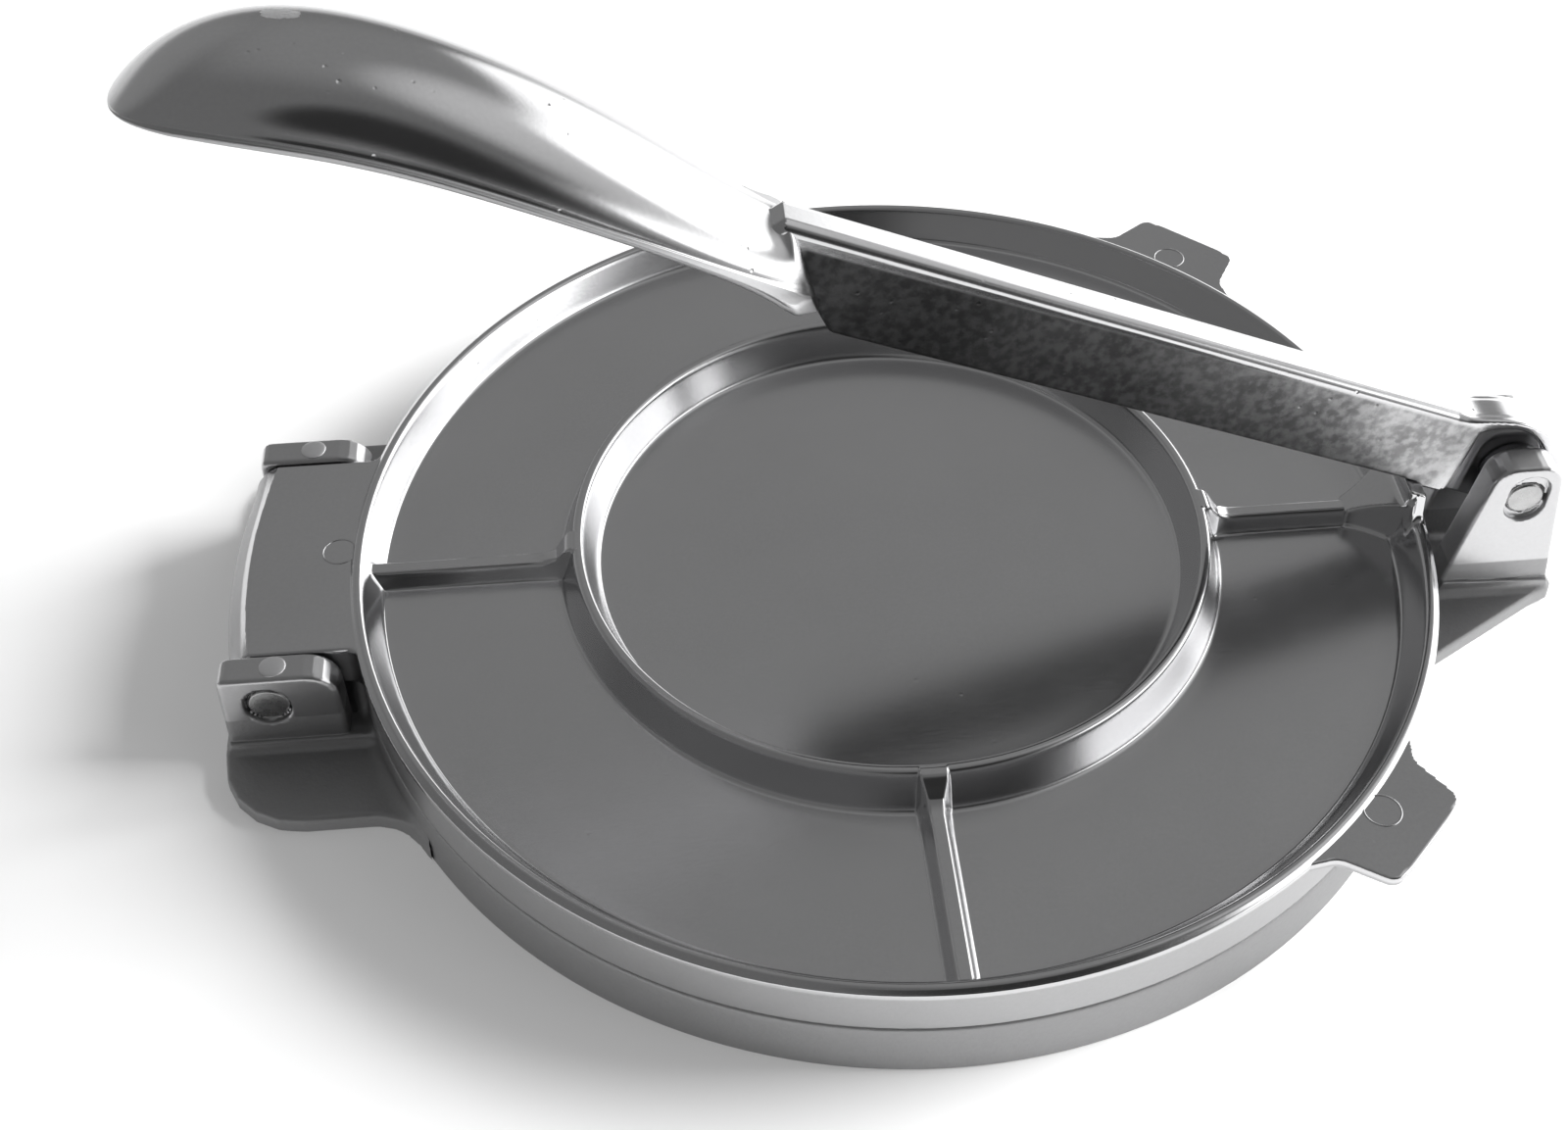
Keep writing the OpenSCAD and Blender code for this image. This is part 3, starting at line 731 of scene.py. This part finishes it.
def steps(*parts):
    """Grid lines: (from, to, step), the next to, its step, and so on."""
    low, out = parts[0], []
    for high, step in zip(parts[1::2], parts[2::2]):
        n = max(1, round((high - low) / step))
        out += list(np.linspace(low, high, n + 1)[:-1])
        low = high
    return np.array(out + [low])


def skinned(name, field, material, *axes):
    points, faces, normals = skin(field, *axes)
    return report(mesh_object(name, points, faces, material, normals))


ball = skin(lambda x, y, z: np.sqrt(x * x + y * y + z * z) - 3, *[steps(-4, 4, 0.5)] * 3)[0]
print("trial ball:", len(ball), "points, radius", round(np.linalg.norm(ball, axis=1).mean(), 3))

# %% [markdown]
# ## The back foot and the hinge ears
#
# The foot is a flat plate that grows out of the base's wall, with a wide hollow curve
# in plan. Two ears stand on it and hold the hinge pin. Each has an oval eye round the
# pin's end and a thin ledge along its foot. The round wall is part of the formula, a
# hair under the real wall, so that the fillets run into it and the rest stays hidden.

# %% The hinge end of the base
def base_wall(x, y, z, sunk=0.03):
    return np.hypot(x, y) - (FOOT_R + (PLATE_R - FOOT_R) * z / BASE_H) + sunk


def near_wall(body, x, y):
    """Only what stands outside the round wall is kept, with 1.5 mm of root in it."""
    return np.maximum(body, PLATE_R - 1.5 - np.hypot(x, y))


back_foot = rounded(mirrored([(HINGE_X - 10, 50.5, 16), (-52.5, 50.5, 0)]))
hinge_ear = rounded([
    (HINGE_X - 8, 1.0, 0), (HINGE_X - 6.9, LID_TOP + 0.6, 2),
    (HINGE_X + 14.9, LID_TOP + 0.6, 6), (HINGE_X + 14.9, 1.0, 0),
])
HINGE_SKEW, HINGE_LEDGE, HINGE_TOE = 2.6, FOOT_T + 1.9, -106


def ear_pair(x, y, z, shape, inner, outer, ledge, edge=1.0, toe=None):
    side = np.abs(y)
    face = outline(shape, x, z)
    ears = keep(face, np.abs(side - (inner + outer) / 2) - (outer - inner) / 2, edge)
    long = face + 0.15 if toe is None else np.minimum(face + 0.15, np.abs(x - toe) - 6)
    foot = keep(np.maximum(long, z - ledge), side - outer - 0.75, 0.3)
    foot = np.maximum(foot, inner + 1 - side)
    return np.minimum(ears, foot)


def eyes(x, y, z, cx, cz, r, outer, low, high):
    """Ovals round the pin's end, their arcs' middles from low to high over its middle."""
    tall = np.hypot(x - cx, z - np.clip(z, cz + low, cz + high)) - r * 1.07
    return np.maximum(tall, outer - 1.2 - np.abs(y))


def hinge_end(x, y, z):
    plan = join(outline(back_foot, x, y - HINGE_Y), np.hypot(x, y) - PLATE_R, 7)
    foot = keep(plan + 0.2 * np.clip(z, 0, 4) / 4, np.abs(z - FOOT_T / 2) - FOOT_T / 2, 0.9)
    yy = y - HINGE_Y
    ears = ear_pair(
        x - np.sign(yy) * HINGE_SKEW / 2, yy, z, hinge_ear, HINGE_EAR_IN, HINGE_EAR_OUT,
        HINGE_LEDGE, toe=HINGE_TOE,
    )
    body = join(foot, ears, 1.8)
    wall = np.maximum(base_wall(x, y, z), np.maximum(-z, z - BASE_H + 0.6))
    body = join(body, wall, 2.5)
    body = cut(body, eyes(x, yy, z, HINGE_X, HINGE_Z, HINGE_PIN_R, HINGE_EAR_OUT, -0.2, 0.6), 0.35)
    body = np.maximum(body, -rod(x, z, HINGE_X, HINGE_Z, HINGE_PIN_R + 0.03))
    return np.maximum(near_wall(body, x, y), -z)


base_hinge_end = skinned(
    "base_hinge_end", hinge_end, cast_base, steps(-132, -90, 0.6),
    steps(-58, -34, 0.8, -18, 0.5, 24, 0.8, 40, 0.5, 64, 0.8), steps(-0.6, 23.6, 0.5),
)

# %% [markdown]
# ## The lever's bracket
#
# At the other end a tapered foot carries two ears with slanting fronts, which hold the
# lever's pin above the upper plate. It is made in the same way as the hinge end.

# %% The lever end of the base
front_foot = rounded(mirrored([
    (PLATE_R - 6, LEVER_EAR_OUT + 19, 0), (PLATE_R + 1.2, LEVER_EAR_OUT + 15.9, 2),
    (LEVER_X + 11.8, LEVER_EAR_OUT - 0.3, 1),
]))
lever_ear = rounded([
    (LEVER_X - 12.9, 1, 0), (LEVER_X - 12, FOOT_T + 3, 8), (LEVER_X - 7.1, LEVER_Z + 8.6, 4.5),
    (LEVER_X + 5.3, LEVER_Z + 8.6, 5), (LEVER_X + 11, 1, 0),
])


def lever_end(x, y, z):
    foot = keep(outline(front_foot, x, y), np.abs(z - FOOT_T / 2) - FOOT_T / 2, 0.7)
    ledge = FOOT_T + 2.9 - (x - LEVER_X) * 0.05
    ears = ear_pair(x, y, z, lever_ear, LEVER_EAR_IN, LEVER_EAR_OUT, ledge, 0.8)
    body = join(foot, ears, 1.8)
    wall = np.maximum(base_wall(x, y, z), np.maximum(-z, z - BASE_H + 0.6))
    body = join(body, wall, 2.5)
    body = cut(body, eyes(x, y, z, LEVER_X, LEVER_Z, LEVER_PIN_R, LEVER_EAR_OUT, -1.2, 2.3), 0.35)
    body = np.maximum(body, -rod(x, z, LEVER_X, LEVER_Z, LEVER_PIN_R + 0.03))
    return np.maximum(near_wall(body, x, y), np.maximum(-z, x - LEVER_X - 11.8))


base_lever_end = skinned(
    "base_lever_end", lever_end, cast_base, steps(98, 135, 0.5),
    steps(-34, -13, 0.8, 13, 0.45, 34, 0.8), steps(-0.6, 38, 0.5),
)

# %% [markdown]
# ## What is cast onto the upper plate's rim
#
# Two tabs lift the plate, a lug with a knuckle turns on the hinge pin, and a pad takes
# the lever's push. Tabs and lug are level with the flange, so their skins lie a hair
# above it and end inside the round ridge, where no line shows.

# %% Tabs, lug and pad
FLUSH = LID_TOP + 0.02
tab_shape = rounded(mirrored([
    (PLATE_R - 2.4, -19, 0), (PLATE_R + 1.5, -13.6, 4), (PLATE_R + 11.3, -11.5, 2.5),
    (PLATE_R + 11.8, -6.5, 20),
]))


def tab(x, y, z):
    shape = np.maximum(outline(tab_shape, x, y), PLATE_R - 2.4 - np.hypot(x, y))
    return keep(shape, np.abs(z - FLUSH + 1.1) - 1.1, 0.45)


def rim_tab(name, degrees):
    points, faces, normals = skin(
        tab, steps(101, 117.5, 0.5), steps(-20, 20, 0.5), steps(19.6, 22.8, 0.35)
    )
    c, s = math.cos(math.radians(degrees)), math.sin(math.radians(degrees))
    turn = np.array([[c, s, 0], [-s, c, 0], [0, 0, 1]])
    return report(mesh_object(name, points @ turn, faces, cast_lid, normals @ turn))


near_tab, far_tab = rim_tab("lid_tab_near", NEAR_TAB), rim_tab("lid_tab_far", FAR_TAB)

lug_side = rounded([
    (102.6, 12.7, 0), (118.4, 12.7, 0), (122.4, 9, 0), (125.4, 10, 0), (128.4, 14, 0),
    (128.4, FLUSH - 4, 1.5), (124.2, FLUSH, 0.6), (102.6, FLUSH, 0),
])


KNUCKLE_R = 7.3


def lug(x, y, z):
    disc = outline(lug_side, np.hypot(x, y), z)
    body = np.maximum(join(disc, rod(x, z, HINGE_X, HINGE_Z, KNUCKLE_R), 0.8), z - FLUSH)
    side, far = np.abs(y - HINGE_Y) - LUG_HALF, np.hypot(x, y)
    plan = join(side, far - PLATE_R + 0.03, 2.0)
    plan = np.maximum(plan, np.maximum(side - 2.6, np.minimum(side - 0.4, PLATE_R - 0.6 - far)))
    body = keep(body, plan, 0.6)
    return np.maximum(body, -rod(x, z, HINGE_X, HINGE_Z, HINGE_PIN_R + 0.05))


lid_lug = skinned(
    "lid_lug", lug, cast_lid, steps(-129.2, -97, 0.6),
    steps(-26.4, -20.5, 0.4, 26.5, 0.9, 32.4, 0.4), steps(6.8, 23.2, 0.5),
)

# %% The pad under the lever
PAD_X, PAD_HALF = PLATE_R - 4.5 + 1.85, 1.85
BRACE_TIP, BRACE_ROOT = 91, PLATE_R - 4.5 + 1
rim_line = np.array([p for p in lid_section if p[0] > 78 and p[1] > PANEL_Z - 0.5])
rim_shape = np.r_[rim_line, [(78, 12)], [(106, 12)]]


def pad(x, y, z):
    half = 9 - (z - LID_TOP + 1) * 2.6 / 11.3
    wall = keep(np.abs(x - PAD_X) - PAD_HALF, np.abs(y) - half, 0.7)
    local = (z - LEVER_Z) * math.cos(TILT) + (x - LEVER_X) * math.sin(TILT)
    wall = keep(np.maximum(wall, 13 - z), local + BEAM_BELOW + 0.1, 0.5)
    run = (x - BRACE_TIP) / (BRACE_ROOT - BRACE_TIP)
    spread = np.abs(y) - (2.4 + 6.3 * np.clip(run, 0, 1.2) ** 1.5)
    rise = math.tan(TILT) * (LEVER_X - BRACE_ROOT) - BEAM_BELOW / math.cos(TILT)
    top = LEVER_Z + rise - 2.4
    under = z - (PANEL_Z + RIB_H + (top - PANEL_Z - RIB_H) * run)
    ends = np.maximum(BRACE_TIP - x, x - BRACE_ROOT)
    brace = keep(np.maximum(ends, under * 0.8), spread, 0.6)
    body = join(wall, np.maximum(brace, 13 - z), 1.2)
    plate = np.maximum(outline(rim_shape, np.hypot(x, y), z) + 0.03, 15 - z)
    body = join(body, plate, 1.2)
    body = np.maximum(body, np.maximum(np.abs(y) - 14, 82 - x))
    return np.maximum(body, 14.5 - z)


lid_pad = skinned(
    "lid_pad", pad, cast_lid, steps(81, 106.5, 0.45), steps(-15, 15, 0.45),
    steps(14, 31.5, 0.45),
)

# %% [markdown]
# ## The lever's beam and hub
#
# The beam is a flat bar, deeper towards the handle. Beside the pin it is cut away under
# a thin cap, so that only a web runs between the ears, with round spacers on it. It is
# drawn level, with the pin at zero, and turned to its slope at the end.

# %% The beam
beam_side = rounded([
    (0, -BEAM_BELOW, 0), (0, BEAM_ABOVE, 0), (-BEAM_LEN, BEAM_ABOVE + 2.2, 0),
    (-BEAM_LEN - 1.5, BEAM_ABOVE, 0), (-BEAM_LEN - 9, BEAM_ABOVE - 0.6, 0),
    (-BEAM_LEN - 12, 7.5, 0),
    (-BEAM_LEN + 8, 0.5, 0), (-BEAM_LEN + 16, -BEAM_BELOW, 0),
])
hub_side = np.array([(-11, -30), (-11, -BEAM_BELOW), (-14.7, 14), (40, 14), (40, -30)])


def beam(x, y, z):
    hump = np.maximum(rod(x, z, -6.2, 0, 12.3), -BEAM_BELOW - z)
    side = np.minimum(join(outline(beam_side, x, z), hump, 3), rod(x, z, 0, 0, 8.95))
    under_cap = np.minimum(rod(x, z, 0, 0, 7.15), rod(x, z, -6.2, 0, 10.5))
    open_down = np.maximum(np.maximum(-20 - x, x - 7.15), z + BEAM_BELOW)
    cap = np.maximum(side, -np.minimum(under_cap, open_down))
    cheeks = np.minimum(cap, keep(side, -outline(hub_side, x, z), 2.6))
    high = np.clip((z - 4) / 4, 0, 1) * np.clip((-14 - x) / 6, 0, 1)
    cheeks = keep(cheeks, np.abs(y) - BEAM_HALF, 0.7 + 1.2 * high)
    web = keep(side, np.abs(y) - 2.5, 0.5)
    body = join(web, cheeks, 0.4)
    boss = keep(rod(x, z, 0, 0, 6.15), np.abs(y) - BEAM_HALF - 0.3, 0.3)
    body = join(body, boss, 0.3)
    return np.maximum(body, -rod(x, z, 0, 0, LEVER_PIN_R + 0.05))


def tilted(vectors, moved=True):
    c, s = math.cos(TILT), math.sin(TILT)
    x, y, z = np.asarray(vectors).T
    sloping = np.stack([c * x + s * z, y, c * z - s * x], 1)
    return sloping + (np.array([LEVER_X, 0, LEVER_Z]) if moved else 0)


points, faces, normals = skin(
    beam, steps(-174, -150, 1, -24, 2, -17, 0.5, -9, 0.3, 10, 0.45),
    steps(-5, 5, 0.33), steps(-9.6, 13.4, 0.4),
)
lever_beam = report(mesh_object(
    "lever_beam", tilted(points), faces, cast_lever, tilted(normals, False)
))

# %% [markdown]
# ## The handle
#
# The handle is a hollow half shell, like a shoehorn: its crest and its lower edge are
# two curves in the middle plane, and an arch spans between them. Its rule is simple, so
# it is lofted: one arch after another is placed along the curves and the arches are
# joined by faces. Each arch is an outer line and an inner line with the same number of
# points, so the open end by the beam and both lower edges close with a rounded rim.

# %% The curves of the handle
tip = np.array([-BEAM_LEN - GRIP_LEN, 0.2])
crest = np.array([(-BEAM_LEN, BEAM_ABOVE + 1.6), (-BEAM_LEN + 1, 2), (tip[0] + 21, 49), tip])
edge = np.array([(-BEAM_LEN + 9.5, 1.3), (-BEAM_LEN - 20, 9.5), (tip[0] + 25, 18.3), tip])


def bezier(p, t):
    u = 1 - t
    return u**3 * p[0] + 3 * t * u**2 * p[1] + 3 * t * t * u * p[2] + t**3 * p[3]


def half_width(t):
    swell = 9.5 + 6.5 * math.sin(math.pi / 2 * min(1, t / 0.55))
    return swell * math.sqrt(max(0, 1 - max(0, (t - 0.72) / 0.28) ** 2))


def lip_width(t):
    return 1.2 + 4.5 * min(1, t / 0.05) * max(0, 1 - t / 0.32) ** 1.4


def bend(a, corner, b, n=4):
    """A soft corner from a to b."""
    t = np.linspace(0, 1, n + 1)[:, None]
    return list((1 - t) ** 2 * a + 2 * t * (1 - t) * corner + t * t * b)


print("handle:", [round(2 * half_width(t), 1) for t in (0, 0.25, 0.5, 0.75, 0.95)], "mm wide")

# %% One arch of the handle, outer and inner line
ARCH = 22


def arch_pair(t, hollow):
    low, high = bezier(edge, t), bezier(crest, t)
    h = max(np.hypot(*(high - low)), 1e-4)
    w, s = half_width(t), min(1, h / 12)
    lip = lip_width(t) * min(1, h / 8)
    lh = (1.3 + 1.7 * max(0, 1 - t / 0.35)) * s
    iw, ih = max(0.02, (w - 3) * hollow), max(0.02, (h - 3) * hollow)
    a0 = math.asin(min(0.85, lh / h))
    foot = w * math.cos(a0)
    r = 0.35 * min(lh, lip + w - foot)
    c = 0.45 * min(r / 0.35, lip + w - foot)
    v = np.array
    outer = [v([min(iw + 0.3 * s, w + lip - r), 0])]
    outer += bend(v([w + lip - r, 0]), v([w + lip, 0]), v([w + lip, r]))
    outer += bend(v([w + lip, lh - r]), v([w + lip, lh]), v([w + lip - r, lh]))
    a1 = a0 + 0.10 * s + 0.02
    outer += bend(v([foot + c, lh]), v([foot, lh]), v([w * math.cos(a1), h * math.sin(a1)]))
    count = len(outer)
    outer += [
        v([w * math.cos(a), h * math.sin(a)]) for a in np.linspace(a1, math.pi / 2, ARCH + 1)[1:]
    ]
    rise = np.r_[np.linspace(0, 0.12, count + 1)[1:], np.linspace(0.12, 1, ARCH + 1)[1:]]
    inner = [v([iw * math.cos(q * math.pi / 2), ih * math.sin(q * math.pi / 2)]) for q in rise]
    both = []
    for half in (outer, inner):
        flipped = [v([-p[0], p[1]]) for p in reversed(half[:-1])]
        both.append(np.array(half + flipped))
    (ux, uz), (x, z) = (high - low) / h, low
    return [np.stack([x + ux * p[:, 1], p[:, 0], z + uz * p[:, 1]], 1) for p in both]


trial = arch_pair(0.3, 1)
print("an arch has", len(trial[0]), "outer and", len(trial[1]), "inner points")

# %% Loft the arches into the handle
def loft_handle():
    t_out = np.r_[
        np.linspace(0, 0.1, 12)[:-1], np.linspace(0.1, 0.72, 44)[:-1],
        0.72 + 0.28 * np.sin(np.linspace(0, math.pi / 2, 26))[:-1],
    ]
    stop = 1 - 3 / GRIP_LEN * 1.7
    outer = [arch_pair(t, 1)[0] for t in t_out]
    inner = [
        arch_pair(t * stop, math.sqrt(max(1e-4, 1 - max(0, (t - 0.7) / 0.3) ** 2)))[1]
        for t in t_out
    ]
    axis = (outer[0] - outer[1])
    axis /= np.linalg.norm(axis, axis=1)[:, None]
    mid, half = (outer[0] + inner[0]) / 2, (outer[0] - inner[0]) / 2
    rim = [
        mid + half * math.cos(a) + axis * 1.1 * math.sin(a)
        for a in np.linspace(0, math.pi, 9)[1:-1]
    ]
    rows = outer[::-1] + rim + inner
    n, m = len(rows), len(rows[0])
    points = np.concatenate(rows + [[(tip[0], 0, tip[1])], [inner[-1].mean(0)]])
    faces = [
        (i * m + j, i * m + j + 1, (i + 1) * m + j + 1, (i + 1) * m + j)
        for i in range(n - 1) for j in range(m - 1)
    ]
    a, b = n * m, n * m + 1
    faces += [(a, j + 1, j) for j in range(m - 1)]
    faces += [(b, (n - 1) * m + j, (n - 1) * m + j + 1) for j in range(m - 1)]
    k, lip_points = len(outer), 12
    within = k + len(rim)
    raw = np.zeros((n, m))
    raw[:k, :lip_points] = raw[:k, -lip_points:] = 1
    raw[within:] = 1
    for side in (0, m - 1):
        line = [i * m + side for i in range(n)]
        strip = [[line[k - 1 - i], line[within + i]] for i in range(k)] + [[a, b]]
        new = [(p[0], q[0], q[1], p[1]) for p, q in zip(strip, strip[1:])]
        new.append(line[k - 1:within + 1])
        faces += new if side else [f[::-1] for f in new]
    return points, faces, np.r_[raw.ravel(), 0, 1]


points, faces, raw = loft_handle()
lever_grip = mesh_object("lever_grip", tilted(points), faces, cast_lever)
lever_grip.data.attributes.new("as_cast", "FLOAT", "POINT").data.foreach_set("value", raw)
lever_grip.data.validate()
report(lever_grip)

# %% [markdown]
# ## The pins
#
# Both pins are plain rods that end inside the ears' eyes. Their ends are slightly
# domed, as left by a blow that spread them a little, so each is a turned section.

# %% Turn the pins
def pin(name, cx, cy, cz, r, half, sides=64):
    section = settled([
        (0, half), (r * 0.5, half - 0.03), (r - 0.45, half - 0.1), (r, half - 0.55),
        (r, -half + 0.55), (r - 0.45, -half + 0.1), (r * 0.5, -half + 0.03), (0, -half),
    ], 0.12)
    points, faces = lathe(
        section, 2 * math.pi * np.arange(sides) / sides,
        lambda q, w, a: (cx + q * math.cos(a), cy + w, cz + q * math.sin(a)),
    )
    return report(mesh_object(name, points, faces, pin_steel))


hinge_rod = pin("hinge_rod", HINGE_X, HINGE_Y, HINGE_Z, HINGE_PIN_R, HINGE_EAR_OUT - 0.7)
lever_rod = pin("lever_rod", LEVER_X, 0, LEVER_Z, LEVER_PIN_R, LEVER_EAR_OUT - 0.7)

# %% [markdown]
# ## Ejector marks
#
# The mould pushes the castings out with small round pins. Each leaves a faint ring on
# both tabs and on the lug, and a flat dome on top of the hinge ears. So a tree sets one
# swept circle, or one squashed ball, on each point of a small point mesh.

# %% The mark tree
board, wire = geometry_tree("ejector_marks", {
    "Places": "Geometry", "Radius": "Float", "Line": "Float", "Domed": "Bool",
    "Metal": "Material",
})
circle = board.node(
    "GeometryNodeCurvePrimitiveCircle", None, {"Resolution": 40, "Radius": wire["Radius"]}
)
thread = board.node(
    "GeometryNodeCurvePrimitiveCircle", None, {"Resolution": 8, "Radius": wire["Line"]}
)
ring_mesh = board.node(
    "GeometryNodeCurveToMesh", None, {"Curve": circle, "Profile Curve": thread}
)
ball = board.node(
    "GeometryNodeMeshUVSphere", None, {"Segments": 40, "Rings": 20, "Radius": wire["Radius"]}
)
dome = board.node("GeometryNodeTransform", None, {"Geometry": ball, "Scale": (1, 1, 0.16)})
shape = board.node(
    "GeometryNodeSwitch", {"input_type": "GEOMETRY"},
    {"Switch": wire["Domed"], "False": ring_mesh, "True": dome},
)
placed = board.node(
    "GeometryNodeInstanceOnPoints", None, {"Points": wire["Places"], "Instance": shape}
)
end_tree(board, placed, wire["Metal"])
mark_tree = board


def marks(name, places, radius, metal, domed=False):
    obj = mesh_object(name, places, [], metal)
    grown(obj, mark_tree, {
        "Radius": radius * MM, "Line": 0.2 * MM, "Domed": domed, "Metal": metal,
    })
    obj.data.polygons.foreach_set("use_smooth", [True] * len(obj.data.polygons))
    return report(obj)


def on_circle(r, degrees, z):
    return (r * math.cos(math.radians(degrees)), r * math.sin(math.radians(degrees)), z)


OUT, EAR_MIDDLE = 107.2, 29
lid_mark_z, ear_mark_z = LID_TOP - 0.03, LID_TOP + 0.62
lid_marks = marks("lid_marks", [
    on_circle(OUT, NEAR_TAB, lid_mark_z), on_circle(OUT, FAR_TAB, lid_mark_z),
    (-OUT, HINGE_Y, lid_mark_z),
], 3.25, cast_lid)
ear_marks = marks("ear_marks", [
    (HINGE_X + 2, HINGE_Y - EAR_MIDDLE, ear_mark_z),
    (HINGE_X + 5, HINGE_Y + EAR_MIDDLE, ear_mark_z),
], 2.5, cast_mark, True)

# %% [markdown]
# ## Join the pieces to the moving bodies
#
# The base stays still, the upper plate swings on the hinge rod and the lever on its own
# pin. Each piece rides on its body, and the solid that it stands for is hidden.

# %% Ride on the bodies and replace
cast = {
    "base": ([base_plate, base_hinge_end, base_lever_end, ear_marks], "cast_base"),
    "lid": ([lid_plate, near_tab, far_tab, lid_lug, lid_pad, lid_marks], "cast_lid"),
    "lever": ([lever_beam, lever_grip], "cast_lever"),
}
for body, (group, finish) in cast.items():
    for piece in group:
        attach(piece, body)
        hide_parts(body)
for piece, node in ((hinge_rod, "hinge_pin"), (lever_rod, "lever_pin")):
    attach(piece, "base")
    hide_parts(node)
print({body: [p.name for p in group] for body, (group, _) in cast.items()})

# %% [markdown]
# ## Floor and light
#
# Polished metal has hardly any look of its own: it shows the room. In the photograph
# the room is a pale table, a dim grey ceiling beyond the press, a dark corner on the
# camera's side and two long bright windows low on the far right. The world paints that
# room by direction. One wide lamp stands for the windows and throws the soft shadow to
# the left.

# %% The floor
def pale_floor():
    n, radius, level = 96, 1500.0, -0.02
    turn = 2 * math.pi * np.arange(n) / n
    points = [(0, 0, level)] + [(radius * math.cos(a), radius * math.sin(a), level) for a in turn]
    faces = [(0, 1 + k, 1 + (k + 1) % n) for k in range(n)]
    material = bpy.data.materials.new("pale_floor")
    material.use_nodes = True
    board = Board(material.node_tree)
    shader = board.tree.nodes["Principled BSDF"]
    shader.inputs["Base Color"].default_value = (0.9, 0.9, 0.9, 1)
    shader.inputs["Roughness"].default_value = 0.9
    shader.inputs["Specular IOR Level"].default_value = 0.1
    glow = board.node("ShaderNodeEmission", None, {"Color": (1, 1, 1, 1), "Strength": 1.0})
    seen = board.node("ShaderNodeLightPath")
    rays = seen.socket.node.outputs
    for kind in ("Is Glossy Ray", "Is Transmission Ray"):
        seen = board.math("MAXIMUM", seen, Wire(board, rays[kind]))
    mixed = board.node("ShaderNodeMixShader", None, {
        0: seen * 0.22, 1: Wire(board, shader.outputs[0]), 2: glow,
    })
    out = board.tree.nodes["Material Output"]
    board.tree.links.new(mixed.socket, out.inputs["Surface"])
    floor = mesh_object("floor", points, faces, material)
    return floor


floor = pale_floor()
print("floor:", len(floor.data.vertices), "points")

# %% The room as a world
world = bpy.data.worlds.new("room")
bpy.context.scene.world = world
world.use_nodes = True
board = Board(world.node_tree)
x, y, z = board.parts(board.node("ShaderNodeTexCoord", None, None, 0))


def patch(direction, inner, outer):
    """1 inside a round patch of the sky, fading to 0 at its edge (cosines)."""
    d = Vector(direction).normalized()
    return board.between(x * d.x + y * d.y + z * d.z, outer, inner)


def band(start, stop, inner, outer):
    """The same along a stretch of the sky, its half widths in degrees."""
    a, b = Vector(start).normalized(), Vector(stop).normalized()
    run = b - a
    share = board.node("ShaderNodeMapRange", None, {
        "Value": x * run.x + y * run.y + z * run.z, "From Min": a @ run, "From Max": b @ run,
    })
    u, v, w = (share * run[k] + a[k] for k in range(3))
    near = (x * u + y * v + z * w) / board.math("SQRT", u * u + v * v + w * w)
    return board.between(near, math.cos(math.radians(outer)), math.cos(math.radians(inner)))


def towards(azimuth, height):
    """A direction: degrees from +Y towards +X, and degrees above the table."""
    a, h = math.radians(azimuth), math.radians(height)
    return (math.sin(a) * math.cos(h), math.cos(a) * math.cos(h), math.sin(h))


DIM = 0.18
PATCHES = (
    (0.10, (30, 50), 0.97, 0.50), (0.10, (-45, 8), 0.98, 0.75), (0.42, (80, 42), 0.99, 0.84),
    (0.40, (86, 3), 0.985, 0.92), (0.35, (116, 10), 0.985, 0.87),
)
WINDOWS = ((2.1, (52, 9), (114, 17), 7, 16), (1.7, (28, 8), (66, 28), 6, 14))
far_side = board.between(x * 0.5 + y * 0.87, -0.1, 0.6)
room = DIM + 0.55 * far_side * (1 - board.between(z, -0.03, 0.10))
for strength, middle, inner, outer in PATCHES:
    room = room + strength * patch(towards(*middle), inner, outer)
room = room * (1 - 0.80 * patch(towards(163, 27), 0.975, 0.86))
for strength, start, stop, inner, outer in WINDOWS:
    room = room + strength * band(towards(*start), towards(*stop), inner, outer)
background = board.tree.nodes["Background"]
colour = board.node("ShaderNodeCombineColor", None, {0: room, 1: room, 2: room})
board.tree.links.new(colour.socket, background.inputs["Color"])
background.inputs["Strength"].default_value = 1.0


def lamp(name, place, size, power):
    """An area lamp that looks at the press."""
    data = bpy.data.lights.new(name, "AREA")
    data.shape, data.energy = "RECTANGLE", power
    data.size, data.size_y = size
    obj = bpy.data.objects.new(name, data)
    spot = Vector(place)
    aimed = (-spot).to_track_quat("-Z", "Y").to_matrix().to_4x4()
    obj.matrix_world = Matrix.Translation(spot) @ aimed
    bpy.context.scene.collection.objects.link(obj)
    return obj


window = lamp("window", (1.30, 0.22, 0.80), (0.9, 0.6), 58)
window.visible_glossy = False
